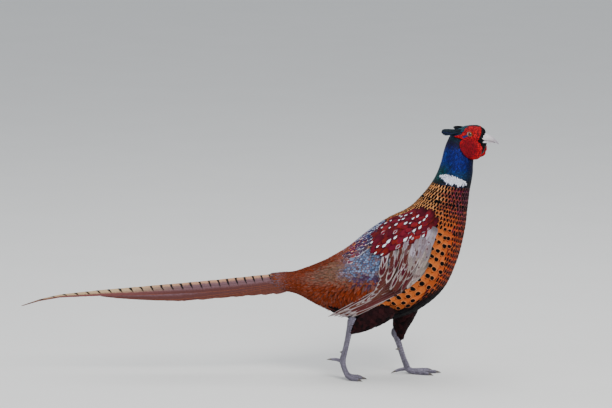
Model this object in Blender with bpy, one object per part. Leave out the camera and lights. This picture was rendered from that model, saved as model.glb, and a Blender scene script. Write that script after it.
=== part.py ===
"""Cock common pheasant, life size, walking. Metres, +X towards the bill, +Z up, origin on the floor
under the middle of the bird's box. The body is one skin, lofted through sections that each run from a
point on the back to a point on the front, and is parted at sections into head, neck, collar, torso
and rump. Everything else is set on that skin."""

import math

import bmesh
import bpy
import numpy as np
from mathutils import Vector
from mathutils.bvhtree import BVHTree

MM = 0.001
GAP = 0.3 * MM

# The walking posture: the head turns this far towards the bird's right, about the neck.
HEAD_TURN = math.radians(12)
TURN_AXIS_X = 343 * MM
TURN_FROM_Z = 330 * MM
TURN_TO_Z = 392 * MM

# Skin sections in mm, bill base to tail base: back x, z, front x, z, half width.
SKIN = (
    (387.0, 426.5, 386.0, 409.0, 3.6),
    (385.0, 431.0, 388.0, 406.5, 5.8),
    (379.0, 435.0, 387.5, 404.0, 8.8),
    (369.0, 436.5, 386.0, 401.0, 12.0),
    (356.0, 435.5, 383.0, 397.5, 14.0),
    (342.0, 432.0, 378.0, 392.5, 15.2),
    (331.0, 426.0, 372.5, 388.0, 16.6),
    (325.0, 419.0, 368.0, 383.5, 17.6),
    (321.0, 411.0, 365.0, 378.5, 18.8),
    (315.5, 396.0, 364.0, 368.0, 21.5),
    (309.5, 372.0, 363.5, 355.0, 24.0),
    (302.0, 352.0, 361.5, 341.0, 26.0),
    (292.0, 335.0, 358.5, 324.5, 29.0),
    (275.0, 314.0, 355.0, 295.0, 36.0),
    (253.0, 293.5, 350.0, 255.0, 46.0),
    (222.0, 278.0, 337.0, 203.0, 55.0),
    (187.5, 255.5, 311.0, 150.5, 60.0),
    (153.0, 227.5, 262.0, 113.0, 59.0),
    (122.0, 208.5, 208.0, 99.0, 53.0),
    (98.0, 197.5, 157.0, 102.0, 43.0),
    (77.0, 189.5, 105.0, 122.0, 31.0),
    (57.0, 183.0, 65.0, 144.0, 20.0),
)
HEAD_END = 7.5
COLLAR_START = 11.0
COLLAR_END = 11.95
TORSO_END = 19.2
TAIL_ROOT = 21.0
SKIN_SIDES = 28
HEAD_STEPS = 12
NECK_STEPS = 6
TORSO_STEPS = 16
RUMP_STEPS = 5

# Upper and lower bill in mm: x, top z, bottom z, half width.
BILL_UPPER = (
    (371.0, 420.0, 413.6, 7.6),
    (378.0, 425.0, 413.0, 8.9),
    (386.0, 424.8, 412.2, 7.9),
    (393.0, 421.2, 411.4, 6.0),
    (399.0, 416.8, 410.2, 4.3),
    (404.0, 412.2, 408.0, 2.7),
    (407.5, 408.4, 405.8, 1.3),
    (409.5, 405.4, 404.8, 0.35),
)
BILL_LOWER = (
    (371.0, 412.8, 407.0, 6.8),
    (379.0, 412.4, 406.6, 8.0),
    (386.0, 411.6, 406.8, 6.6),
    (393.0, 410.8, 407.2, 4.6),
    (399.5, 409.6, 407.0, 2.8),
    (403.0, 407.8, 406.2, 1.3),
)
NOSTRIL = (388.0, 7.4, 419.2)
NOSTRIL_RADII = (2.6, 1.0, 1.3)

EYE = (361.5, 10.6, 423.3)
EYE_RADIUS = 6.0
LID_RING_RADIUS = 5.0
LID_THICKNESS = 1.0

# The red face in mm, as the side view shows it: x, z round its edge.
FACE_EDGE = (
    (333.0, 419.0), (347.0, 423.5), (353.0, 434.0), (362.0, 440.0), (376.0, 439.5), (380.5, 432.0),
    (380.5, 424.0), (378.5, 417.5), (375.0, 413.0), (379.5, 407.0), (384.0, 398.0), (381.5, 388.0),
    (375.0, 382.0), (366.0, 379.5), (358.5, 382.5), (351.5, 390.0), (346.5, 398.0), (344.5, 405.5),
    (345.5, 411.5), (350.0, 414.0), (345.0, 416.5),
)
FACE_THICKNESS = 1.4
LOBES = (
    (365.0, 13.2, 398.0, 19.0, 5.0, 17.0),
    (368.5, 13.0, 388.5, 13.0, 5.0, 9.0),
)

# Ear tufts in mm: where all the vanes root, then the first and the last vane's tip.
EAR_TUFTS = {
    "ear_tuft_right": ((343.0, -7.0, 428.5), (309.5, -14.0, 431.5), (316.0, -12.0, 424.5)),
    "ear_tuft_left": ((344.0, 7.0, 429.5), (325.0, 12.0, 435.5), (324.0, 14.5, 429.0)),
}
TUFT_VANES = 4
TUFT_HALF_WIDTH = 3.6
TUFT_LAYER = 1.5

# Tail in mm, root to tip: x, ridge z. The vanes lie in pairs on two slopes, like a roof.
RIDGE = (
    (90.0, 187.0), (56.0, 182.5), (20.0, 179.5), (-19.0, 175.5), (-105.0, 166.5), (-191.0, 159.0),
    (-277.0, 151.5), (-346.0, 144.0), (-382.0, 135.5), (-413.0, 124.5),
)
ROOF_SLOPE = math.radians(56)
PAIR_TIPS = (-413.0, -277.0, -262.0, -205.0, -155.0, -108.0, -68.0, -32.0, 0.0)
PAIR_STEPS = (8, 5, 5, 4, 4, 4, 3, 3, 3)
PAIR_LAYER = 1.3
PAIR_SHIFT = 2.2
PAIR_SPREAD = 8.0
CENTRAL_WIDTHS = ((64.0, 19.0), (-60.0, 23.0), (-150.0, 20.0), (-277.0, 11.0), (-346.0, 6.0),
                  (-413.0, 1.2))
SIDE_WIDTH = 24.0
TAIL_THICKNESS = 0.9
TAIL_BASE = ((72.0, 184.0, 150.0, 15.0), (50.0, 181.0, 146.0, 16.5), (28.0, 178.0, 148.0, 14.0),
             (14.0, 174.0, 154.0, 9.0))
UPPER_COVERTS = 5
UNDER_COVERTS = 4

# Folded wing in mm: the shield that it follows, and its core's edge as the side view shows it.
CORE_EDGE = (
    (304.0, 263.0), (294.0, 231.0), (278.0, 195.0), (258.0, 169.0), (232.0, 156.0), (204.0, 147.0),
    (188.0, 145.0), (200.0, 165.0), (208.0, 189.0), (213.0, 223.0), (228.0, 249.0), (262.0, 269.0),
    (286.0, 273.0),
)
WING_THICKNESS = 6.0
# Tiers of vanes in mm, each from its lowest or rearmost vane to its last: count, root x and z of
# both, tip x and z of both, half width, lift, sag of the middle and tilt over the neighbour.
WING_TIERS = (
    (5, (250.0, 154.0), (238.0, 179.0), (149.0, 112.5), (118.0, 117.0), 6.8, 1.4, 4.0, 0.32),
    (5, (240.0, 169.0), (224.0, 205.0), (158.0, 127.0), (198.0, 167.0), 7.4, 3.2, 3.5, 0.28),
    (6, (222.0, 221.0), (282.0, 219.0), (202.0, 169.0), (264.0, 165.0), 7.6, 4.8, 0.0, 0.16),
    (6, (232.0, 241.0), (294.0, 247.0), (213.0, 199.0), (279.0, 196.0), 7.2, 6.2, 0.0, 0.18),
    (6, (226.0, 249.0), (312.0, 277.0), (196.0, 222.0), (287.0, 252.0), 9.0, 7.0, 0.0, 0.16),
)
# Along a wing vane: how far, how wide and how much of its lift it has there.
LONG_VANE = ((0.0, 0.7, -0.6), (0.2, 1.0, 0.5), (0.5, 1.0, 1.0), (0.82, 0.8, 1.0), (1.0, 0.25, 1.0))
SHORT_VANE = ((0.0, 0.7, -0.3), (0.3, 1.0, 0.75), (0.78, 0.9, 1.0), (1.0, 0.3, 1.0))
LONG_TIERS = 2
VANE_THICKNESS = 0.8
SHIELD_CENTRE = (238.0, 204.0)
SHIELD_OUT = 60.5
SHIELD_ALONG = 150.0
SHIELD_ACROSS = 92.0
SHIELD_LEAN = math.radians(38)
SHIELD_TOP = 262.0
SHIELD_FADE = 37.0
CORE_RINGS = (0.4, 0.75, 1.0)

# Legs in mm. The right one pushes off behind, on its toes, and the left one stands in front.
THIGHS = {
    "thigh_right": (
        (222.0, -26.0, 145.0, 30.0, 22.0), (203.0, -31.0, 122.0, 25.0, 19.0),
        (183.0, -34.0, 105.0, 18.0, 14.0), (167.0, -34.5, 92.0, 11.0, 9.0),
        (158.0, -34.5, 84.5, 5.0, 4.5),
    ),
    "thigh_left": (
        (252.0, 25.0, 131.0, 26.0, 20.0), (247.0, 29.0, 104.0, 18.5, 15.0),
        (241.5, 31.0, 84.5, 13.5, 11.0), (240.5, 31.5, 70.5, 9.0, 8.0),
        (242.0, 31.5, 62.5, 5.0, 4.5),
    ),
}
SHANKS = {
    "shank_right": (
        (162.0, -34.0, 110.0, 5.0), (156.0, -34.0, 103.5, 6.3), (153.0, -33.5, 91.5, 5.0),
        (149.0, -32.5, 71.0, 4.3), (145.0, -31.5, 52.5, 4.2), (141.0, -30.5, 37.0, 4.8),
    ),
    "shank_left": (
        (236.0, 32.0, 80.5, 5.0), (231.5, 32.0, 72.0, 6.3), (235.0, 31.8, 61.5, 5.0),
        (240.5, 31.2, 44.5, 4.3), (246.0, 30.4, 27.5, 4.2), (251.0, 30.0, 14.5, 4.8),
    ),
}
# Toes in mm: x, y, z, radius, from the foot's root to the claw. A z of 0 lies on the floor.
TOES = {
    "right": {
        "middle": ((140.4, -30.3, 31.0, 5.0), (143.0, -30.0, 19.0, 4.0), (149.0, -30.0, 8.5, 3.6),
                   (159.0, -30.5, 0.0, 3.7), (174.0, -31.5, 0.0, 2.9)),
        "inner": ((140.4, -29.5, 30.0, 4.4), (144.5, -26.0, 18.0, 3.4), (150.0, -21.5, 7.5, 3.2),
                  (158.0, -17.0, 0.0, 3.3), (168.0, -12.5, 0.0, 2.7)),
        "outer": ((140.4, -31.0, 30.0, 4.4), (143.0, -35.5, 18.0, 3.4), (148.0, -41.0, 7.5, 3.2),
                  (156.0, -46.5, 0.0, 3.3), (167.0, -52.5, 0.0, 2.7)),
        "hind": ((140.4, -30.3, 31.0, 3.4), (131.0, -28.5, 34.0, 2.7), (121.0, -27.0, 34.5, 2.3)),
    },
    "left": {
        "middle": ((252.5, 30.0, 8.4, 5.2), (261.0, 30.3, 5.2, 4.2), (273.0, 31.0, 0.0, 3.9),
                   (288.0, 32.0, 0.0, 3.4), (303.0, 33.0, 0.0, 2.8)),
        "inner": ((252.5, 29.0, 8.0, 4.4), (260.0, 24.0, 4.6, 3.6), (270.0, 18.5, 0.0, 3.5),
                  (281.0, 13.0, 0.0, 3.1), (290.0, 9.0, 0.0, 2.6)),
        "outer": ((252.5, 31.5, 8.0, 4.4), (259.0, 38.0, 4.6, 3.6), (268.0, 45.0, 0.0, 3.5),
                  (279.0, 51.5, 0.0, 3.1), (290.0, 57.0, 0.0, 2.6)),
        "hind": ((252.5, 30.0, 8.4, 3.4), (241.0, 27.0, 7.5, 2.7), (232.0, 25.0, 5.0, 2.3)),
    },
}
TOE_SIDES = 8
TOE_FLAT = 0.25
KNUCKLE_RADIUS = 5.3
CLAW_LENGTH = 8.5
CLAW_DROOP = 1.6
SPURS = {
    "spur_right": ((143.8, -30.2, 48.0), (135.0, -25.5, 46.0)),
    "spur_left": ((240.2, 29.2, 44.0), (231.5, 24.5, 42.5)),
}
SPUR_RADIUS = 2.6

MATERIALS = {
    "crown": ((0.02, 0.07, 0.06), 0.45, 0.2),
    "neck": ((0.01, 0.05, 0.16), 0.4, 0.3),
    "collar": ((0.85, 0.86, 0.88), 0.8, 0.0),
    "breast": ((0.45, 0.13, 0.03), 0.55, 0.1),
    "rump": ((0.32, 0.1, 0.04), 0.65, 0.0),
    "wing": ((0.42, 0.33, 0.28), 0.7, 0.0),
    "tail": ((0.36, 0.24, 0.15), 0.65, 0.0),
    "thigh": ((0.05, 0.025, 0.02), 0.8, 0.0),
    "leg": ((0.3, 0.27, 0.31), 0.6, 0.0),
    "claw": ((0.12, 0.1, 0.09), 0.4, 0.0),
    "face": ((0.6, 0.01, 0.02), 0.5, 0.0),
    "bill": ((0.72, 0.7, 0.62), 0.35, 0.0),
    "eye": ((0.03, 0.015, 0.01), 0.1, 0.0),
}


def clear_scene():
    for obj in list(bpy.data.objects):
        bpy.data.objects.remove(obj)


def material(name):
    """One Principled material for each entry of MATERIALS."""
    found = bpy.data.materials.get(name)
    if found:
        return found
    colour, roughness, metallic = MATERIALS[name]
    made = bpy.data.materials.new(name)
    made.use_nodes = True
    shader = made.node_tree.nodes["Principled BSDF"]
    shader.inputs["Base Color"].default_value = (*colour, 1)
    shader.inputs["Roughness"].default_value = roughness
    shader.inputs["Metallic"].default_value = metallic
    return made


def smooth_row(rows, u):
    """A row of the table at u, by a curve through the rows."""
    table = np.array(rows, float)
    last = len(table) - 1
    u = min(max(u, 0.0), float(last))
    i = min(int(u), last - 1)
    t = u - i
    p1, p2 = table[i], table[i + 1]
    p0 = table[i - 1] if i > 0 else 2 * p1 - p2
    p3 = table[i + 2] if i + 2 <= last else 2 * p2 - p1
    return 0.5 * (2 * p1 + (p2 - p0) * t + (2 * p0 - 5 * p1 + 4 * p2 - p3) * t**2
                  + (3 * p1 - p0 - 3 * p2 + p3) * t**3)


def turned(point):
    """The point after the head's turn, which grows from the collar up."""
    share = min(max((point[2] - TURN_FROM_Z) / (TURN_TO_Z - TURN_FROM_Z), 0.0), 1.0)
    angle = -HEAD_TURN * share * share * (3 - 2 * share)
    x, y = point[0] - TURN_AXIS_X, point[1]
    cos, sin = math.cos(angle), math.sin(angle)
    return Vector((TURN_AXIS_X + x * cos - y * sin, x * sin + y * cos, point[2]))


def add_mesh(name, points, faces, slot):
    mesh = bpy.data.meshes.new(name)
    mesh.from_pydata([tuple(p) for p in points], [], faces)
    bm = bmesh.new()
    bm.from_mesh(mesh)
    bmesh.ops.recalc_face_normals(bm, faces=bm.faces)
    bm.to_mesh(mesh)
    bm.free()
    mesh.materials.append(material(slot))
    mesh.shade_smooth()
    mesh.set_sharp_from_angle(angle=math.radians(50))
    obj = bpy.data.objects.new(name, mesh)
    bpy.context.scene.collection.objects.link(obj)
    return obj


def loft(name, rings, slot):
    """A closed body through rings of as many points each, with flat fans at both ends."""
    count = len(rings[0])
    points = [p for ring in rings for p in ring]
    faces = []
    for r in range(len(rings) - 1):
        for k in range(count):
            a, b = r * count + k, r * count + (k + 1) % count
            faces.append((a, b, b + count))
            faces.append((a, b + count, a + count))
    for base, ring in ((0, rings[0]), ((len(rings) - 1) * count, rings[-1])):
        hub = len(points)
        points.append(sum((Vector(p) for p in ring), Vector()) / count)
        faces += [(hub, base + k, base + (k + 1) % count) for k in range(count)]
    return add_mesh(name, points, faces, slot)


def swell(obj, grow):
    """Moves every point of the object's surface out along its normal."""
    bm = bmesh.new()
    bm.from_mesh(obj.data)
    bm.normal_update()
    for vertex in bm.verts:
        vertex.co += vertex.normal * grow
    bm.to_mesh(obj.data)
    bm.free()
    return obj


def grown_copy(name):
    """A copy of the named node, grown by a little more than a gap."""
    source = bpy.data.objects[name]
    copy = bpy.data.objects.new("copy", source.data.copy())
    bpy.context.scene.collection.objects.link(copy)
    return swell(copy, 1.5 * GAP)


def skin_ring(u, slide=0.0):
    """The skin's section at u, slid along its own normal, in metres."""
    bx, bz, fx, fz, half = smooth_row(SKIN, u) * MM
    centre = Vector(((bx + fx) / 2, 0, (bz + fz) / 2))
    up = Vector((bx - fx, 0, bz - fz)) / 2
    along = Vector((-up.z, 0, up.x)).normalized()
    ring = []
    for k in range(SKIN_SIDES):
        angle = 2 * math.pi * k / SKIN_SIDES
        side = Vector((0, half * math.sin(angle), 0))
        ring.append(centre + up * math.cos(angle) + side + along * slide)
    return ring


def steps_between(start, end, steps):
    return [start + (end - start) * i / steps for i in range(steps + 1)]


def skin_through(name, stations, slot, first=0.0, last=0.0):
    """The skin at the stations. first and last slide its two ends along the sections' normals."""
    rings = []
    for u in stations:
        slide = first if u == stations[0] else last if u == stations[-1] else 0.0
        rings.append([turned(p) for p in skin_ring(u, slide)])
    return loft(name, rings, slot)


def sections(name, rows, slot, sides=12):
    """A loft through upright sections: x, top z, bottom z, half width in mm. The head carries it."""
    rings = []
    for x, top, bottom, half in rows:
        ring = []
        for k in range(sides):
            angle = 2 * math.pi * k / sides
            point = Vector((x, half * math.sin(angle), (top + bottom) / 2
                            + (top - bottom) / 2 * math.cos(angle))) * MM
            ring.append(turned(point))
        rings.append(ring)
    return loft(name, rings, slot)


def tube(name, rows, slot, sides=10, turn=False):
    """A limb along points in mm. A row is x, y, z, radius, and may add its radius across."""
    centres = [Vector(row[:3]) * MM for row in rows]
    rings = []
    for i, row in enumerate(rows):
        ahead = centres[min(i + 1, len(rows) - 1)]
        behind = centres[max(i - 1, 0)]
        along = (ahead - behind).normalized()
        across = Vector((0, 1, 0)) - along * along.y
        if across.length < 0.3:
            across = Vector((1, 0, 0)) - along * along.x
        across.normalize()
        up = along.cross(across)
        high = row[3] * MM
        wide = row[-1] * MM
        ring = []
        for k in range(sides):
            angle = 2 * math.pi * (k + 0.5) / sides
            point = centres[i] + up * math.cos(angle) * high + across * math.sin(angle) * wide
            ring.append(turned(point) if turn else point)
        rings.append(ring)
    return loft(name, rings, slot)


def ball(name, centre, radii, slot, turn=True, segments=16):
    """An ellipsoid, with centre and radii in mm."""
    bm = bmesh.new()
    bmesh.ops.create_uvsphere(bm, u_segments=segments, v_segments=segments // 2 + 2, radius=1)
    mesh = bpy.data.meshes.new(name)
    bm.to_mesh(mesh)
    bm.free()
    for vertex in mesh.vertices:
        spot = Vector([c + r * v for c, r, v in zip(centre, radii, vertex.co)]) * MM
        vertex.co = turned(spot) if turn else spot
    mesh.materials.append(material(slot))
    mesh.shade_smooth()
    obj = bpy.data.objects.new(name, mesh)
    bpy.context.scene.collection.objects.link(obj)
    return obj


def plate(name, outline, low_y, high_y, slot):
    """An upright plate from a side-view outline in mm, between two depths."""
    count = len(outline)
    points = [Vector((x, y, z)) * MM for y in (low_y, high_y) for x, z in outline]
    faces = [tuple(range(count)), tuple(range(2 * count - 1, count - 1, -1))]
    faces += [(k, (k + 1) % count, (k + 1) % count + count, k + count) for k in range(count)]
    obj = add_mesh(name, points, faces, slot)
    bm = bmesh.new()
    bm.from_mesh(obj.data)
    bmesh.ops.triangulate(bm, faces=bm.faces)
    bm.to_mesh(obj.data)
    bm.free()
    return obj


def largest_body(obj):
    """Keeps the largest closed surface of the object's mesh."""
    bm = bmesh.new()
    bm.from_mesh(obj.data)
    left = set(bm.faces)
    bodies = []
    while left:
        seen = {left.pop()}
        edge_of = list(seen)
        while edge_of:
            face = edge_of.pop()
            for edge in face.edges:
                for other in edge.link_faces:
                    if other in left:
                        left.discard(other)
                        seen.add(other)
                        edge_of.append(other)
        bodies.append(seen)
    if len(bodies) > 1:
        size = [abs(sum(f.calc_area() for f in body)) for body in bodies]
        keep = bodies[size.index(max(size))]
        bmesh.ops.delete(bm, geom=[f for f in bm.faces if f not in keep], context="FACES")
    bm.to_mesh(obj.data)
    bm.free()


def combine(obj, operation, others):
    """Joins, cuts or crops the object by the others, which are then removed."""
    tools = bpy.data.collections.new("tools")
    bpy.context.scene.collection.children.link(tools)
    for other in others:
        tools.objects.link(other)
        bpy.context.scene.collection.objects.unlink(other)
    modifier = obj.modifiers.new(operation.lower(), "BOOLEAN")
    modifier.operation = operation
    modifier.solver = "MANIFOLD"
    modifier.operand_type = "COLLECTION"
    modifier.collection = tools
    graph = bpy.context.evaluated_depsgraph_get()
    mesh = bpy.data.meshes.new_from_object(obj.evaluated_get(graph))
    obj.modifiers.clear()
    old, obj.data = obj.data, mesh
    bpy.data.meshes.remove(old)
    for other in list(tools.objects):
        bpy.data.objects.remove(other)
    bpy.data.collections.remove(tools)
    obj.data.shade_smooth()
    obj.data.set_sharp_from_angle(angle=math.radians(40))
    largest_body(obj)
    return obj


def head_form(name, grow):
    return swell(skin_through(name, HEAD_STATIONS + NECK_STATIONS[1:3], "crown"), grow)


HEAD_STATIONS = steps_between(0.0, HEAD_END, HEAD_STEPS)
NECK_STATIONS = steps_between(HEAD_END, COLLAR_START, NECK_STEPS)
COLLAR_STATIONS = steps_between(COLLAR_START, COLLAR_END, 2)
TORSO_STATIONS = steps_between(COLLAR_END, TORSO_END, TORSO_STEPS)
RUMP_STATIONS = steps_between(TORSO_END, TAIL_ROOT, RUMP_STEPS)


def make_head():
    head = skin_through("head", HEAD_STATIONS, "crown", last=-GAP / 2)
    sockets = [ball("socket", (EYE[0], sign * EYE[1], EYE[2]), [EYE_RADIUS + 0.3] * 3, "eye", segments=12)
               for sign in (1, -1)]
    combine(head, "DIFFERENCE", sockets)
    for name, sign in (("eye_left", 1), ("eye_right", -1)):
        ball(name, (EYE[0], sign * EYE[1], EYE[2]), [EYE_RADIUS] * 3, "eye", segments=12)


def make_bill():
    upper = sections("bill_upper", BILL_UPPER, "bill")
    lower = sections("bill_lower", BILL_LOWER, "bill")
    pits = [ball("pit", (NOSTRIL[0], sign * NOSTRIL[1], NOSTRIL[2]), NOSTRIL_RADII, "bill", segments=10)
            for sign in (1, -1)]
    combine(upper, "DIFFERENCE", [head_form("cut", GAP)] + pits)
    combine(lower, "DIFFERENCE", [head_form("cut", GAP)])


def lid_ring(sign):
    """The fold of skin round the eye, as a ring laid on the eyeball."""
    steps, sides = 12, 5
    depth = math.sqrt(EYE_RADIUS**2 - LID_RING_RADIUS**2)
    rings = []
    for i in range(steps):
        angle = 2 * math.pi * i / steps
        out = Vector((math.cos(angle), 0, math.sin(angle)))
        ring = []
        for k in range(sides):
            turn = 2 * math.pi * k / sides
            reach = LID_RING_RADIUS + 1.1 + LID_THICKNESS * math.cos(turn)
            spot = Vector(EYE) + out * reach
            spot.y += depth + 0.6 + 1.5 * LID_THICKNESS * math.sin(turn)
            ring.append(turned(Vector((spot.x, sign * spot.y, spot.z)) * MM))
        rings.append(ring)
    count = len(rings)
    points = [p for ring in rings for p in ring]
    faces = []
    for i in range(count):
        for k in range(sides):
            a = i * sides + k
            b = i * sides + (k + 1) % sides
            c = ((i + 1) % count) * sides + (k + 1) % sides
            d = ((i + 1) % count) * sides + k
            faces += [(a, b, c), (a, c, d)]
    return add_mesh("lid", points, faces, "face")


def make_face(name, sign):
    """The bare red face: a thin skin over the cheek, a hanging lobe and the lids."""
    skin = head_form(name, GAP + FACE_THICKNESS * MM)
    skin.data.materials.clear()
    skin.data.materials.append(material("face"))
    edge = plate("edge", FACE_EDGE, min(0, sign * 60) + 2 * sign, max(0, sign * 60) + 2 * sign, "face")
    for vertex in edge.data.vertices:
        vertex.co = turned(vertex.co)
    combine(skin, "INTERSECT", [edge])
    lobes = [ball("lobe", (x, sign * y, z), (rx, ry, rz), "face", segments=10)
             for x, y, z, rx, ry, rz in LOBES]
    combine(skin, "UNION", lobes + [lid_ring(sign)])
    eye = ball("eye_cut", (EYE[0], sign * EYE[1], EYE[2]), [EYE_RADIUS + 0.3] * 3, "face", segments=12)
    upper = swell(sections("cut", BILL_UPPER, "bill"), GAP)
    lower = swell(sections("cut", BILL_LOWER, "bill"), GAP)
    inner = swell(skin_through("cut", HEAD_STATIONS + NECK_STATIONS[1:], "crown"), GAP)
    combine(skin, "DIFFERENCE", [inner, eye, upper, lower])


def blade(name, stations, slot):
    """A thin vane. Each station is its middle, the ways across and out, half width and thickness."""
    points, faces = [], []
    for middle, across, out, half, thick in stations:
        for side, share in ((-1, 0.5), (1, 0.5), (1, -0.5), (-1, -0.5)):
            points.append(middle + across * side * half + out * share * thick)
    last = 4 * (len(stations) - 1)
    for r in range(0, last, 4):
        for a, b in ((0, 1), (3, 2), (1, 2), (0, 3)):
            faces += [(r + a, r + b, r + 4 + b), (r + a, r + 4 + b, r + 4 + a)]
    for base in (0, last):
        faces += [(base, base + 1, base + 2), (base, base + 2, base + 3)]
    return add_mesh(name, points, faces, slot)


def make_ear_tufts():
    """Each ear tuft is a few blunt vanes that fan out from one root."""
    for name, (root, first, last) in EAR_TUFTS.items():
        root, first, last = (Vector(p) * MM for p in (root, first, last))
        outward = Vector((0, math.copysign(1, root.y), 0))
        vanes = []
        for i in range(TUFT_VANES):
            tip = first.lerp(last, i / (TUFT_VANES - 1))
            layer = outward * (TUFT_VANES / 2 - i) * TUFT_LAYER * MM
            along = (tip - root).normalized()
            across = along.cross(outward).normalized()
            stations = []
            for t, width in ((0.0, 0.6), (0.5, 1.0), (0.9, 0.85), (1.0, 0.35)):
                middle = root.lerp(tip, t) + layer * min(t * 3, 1)
                stations.append((middle, across, outward, TUFT_HALF_WIDTH * width * MM, 1.4 * MM))
            vane = blade(name if i == 0 else "vane", stations, "crown")
            for vertex in vane.data.vertices:
                vertex.co = turned(vertex.co)
            vanes.append(vane)
        stem = tube("stem", [(*(root.lerp(first.lerp(last, 0.5), t) / MM), 4.0, 3.0) for t in (0, 0.2, 0.4)],
                    "crown", 8, True)
        tuft = combine(vanes[0], "UNION", vanes[1:] + [stem])
        combine(tuft, "DIFFERENCE", [head_form("cut", GAP), grown_copy(name.replace("ear_tuft", "face"))])


def make_body():
    for name, slot, stations in (("neck", "neck", NECK_STATIONS), ("collar", "collar", COLLAR_STATIONS),
                                 ("torso", "breast", TORSO_STATIONS), ("rump", "rump", RUMP_STATIONS)):
        skin_through(name, stations, slot, GAP / 2, -GAP / 2)
    combine(bpy.data.objects["rump"], "UNION", tail_coverts())


def body_form(name, grow):
    """The whole body behind the collar, on the same sections as its nodes, and grown."""
    stations = COLLAR_STATIONS + TORSO_STATIONS[1:] + RUMP_STATIONS[1:]
    return swell(skin_through(name, stations, "breast"), grow)


def shield_y(x, z):
    """How far out the folded wing lies at a side-view point, all in mm, where it leaves the body."""
    dx, dz = x - SHIELD_CENTRE[0], z - SHIELD_CENTRE[1]
    along = dx * math.cos(SHIELD_LEAN) + dz * math.sin(SHIELD_LEAN)
    across = -dx * math.sin(SHIELD_LEAN) + dz * math.cos(SHIELD_LEAN)
    return SHIELD_OUT * (1 - 0.5 * (along / SHIELD_ALONG) ** 2 - 0.5 * (across / SHIELD_ACROSS) ** 2)


def flank_y(body, x, z):
    """How far out the wing's bed lies at a side-view point in mm: on the body or let out to the
    shield, which fades towards the back."""
    hit = body.ray_cast(Vector((x, 200, z)) * MM, Vector((0, -1, 0)))[0]
    flesh = hit.y / MM if hit else 0
    share = min(max((SHIELD_TOP - z) / SHIELD_FADE, 0), 1)
    return flesh + max(shield_y(x, z) - flesh, 0) * share


def bed_point(body, x, z, lift, sign):
    """A point over the wing's bed, in metres, and the bed's normal there."""
    y = flank_y(body, x, z)
    slope_x = (flank_y(body, x + 3, z) - flank_y(body, x - 3, z)) / 6
    slope_z = (flank_y(body, x, z + 3) - flank_y(body, x, z - 3)) / 6
    out = Vector((-slope_x, 1, -slope_z)).normalized()
    spot = (Vector((x, y, z)) + out * lift) * MM
    return Vector((spot.x, sign * spot.y, spot.z)), Vector((out.x, sign * out.y, out.z))


def wing_vane(body, root, tip, form, half, lift, sag, tilt, sign):
    """A flat feather of the wing, from root to tip in the side view, one edge over its neighbour."""
    run = Vector((tip[0] - root[0], 0, tip[1] - root[1]))
    side = Vector((run.z, 0, -run.x)).normalized()
    if side.z > 0:
        side = -side
    stations = []
    for t, wide, risen in form:
        spot = Vector((root[0], 0, root[1])) + run * t + side * sag * math.sin(math.pi * t)
        rise = lift * risen
        width = half * wide
        middle, out = bed_point(body, spot.x, spot.z, rise, sign)
        low = spot + side * width
        edge = bed_point(body, low.x, low.z, rise + tilt * width, sign)[0]
        across = (edge - middle).normalized()
        stations.append((middle, across, out, width * MM, VANE_THICKNESS * MM))
    return blade("vane", stations, "wing")


def make_wing(name, sign):
    """The folded wing: a core on the flank with tiers of vanes, cut to the body's surface."""
    trunk = body_form("body", GAP)
    body = BVHTree.FromObject(trunk, bpy.context.evaluated_depsgraph_get())
    mean_x = sum(x for x, z in CORE_EDGE) / len(CORE_EDGE)
    mean_z = sum(z for x, z in CORE_EDGE) / len(CORE_EDGE)
    count = len(CORE_EDGE)
    points, faces = [], []
    for lift in (1.4, -WING_THICKNESS):
        start = len(points)
        points.append(bed_point(body, mean_x, mean_z, lift, sign)[0])
        for share in CORE_RINGS:
            fall = lift * (1 - 0.6 * share**4)
            for x, z in CORE_EDGE:
                spot = (mean_x + (x - mean_x) * share, mean_z + (z - mean_z) * share)
                points.append(bed_point(body, *spot, fall, sign)[0])
        faces += [(start, start + 1 + k, start + 1 + (k + 1) % count) for k in range(count)]
        for r in range(len(CORE_RINGS) - 1):
            base = start + 1 + r * count
            for k in range(count):
                a, b = base + k, base + (k + 1) % count
                faces += [(a, b, b + count), (a, b + count, a + count)]
    outer = 1 + (len(CORE_RINGS) - 1) * count
    inner = outer + 1 + len(CORE_RINGS) * count
    for k in range(count):
        a, b = outer + k, outer + (k + 1) % count
        c, d = inner + (k + 1) % count, inner + k
        faces += [(a, b, c), (a, c, d)]
    wing = add_mesh(name, points, faces, "wing")
    vanes = []
    for tier, (number, root_a, root_b, tip_a, tip_b, *sizes) in enumerate(WING_TIERS):
        form = LONG_VANE if tier < LONG_TIERS else SHORT_VANE
        for i in range(number):
            t = i / (number - 1)
            root = [a + (b - a) * t for a, b in zip(root_a, root_b)]
            tip = [a + (b - a) * t for a, b in zip(tip_a, tip_b)]
            vanes.append(wing_vane(body, root, tip, form, *sizes, sign))
    combine(wing, "UNION", vanes)
    combine(wing, "DIFFERENCE", [trunk])


def along_table(table, x):
    """The value of a falling table of pairs at x, on straight lines."""
    for (x0, v0), (x1, v1) in zip(table, table[1:]):
        if x >= x1:
            return v0 + (v1 - v0) * min((x0 - x) / (x0 - x1), 1.0)
    return table[-1][1]


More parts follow.
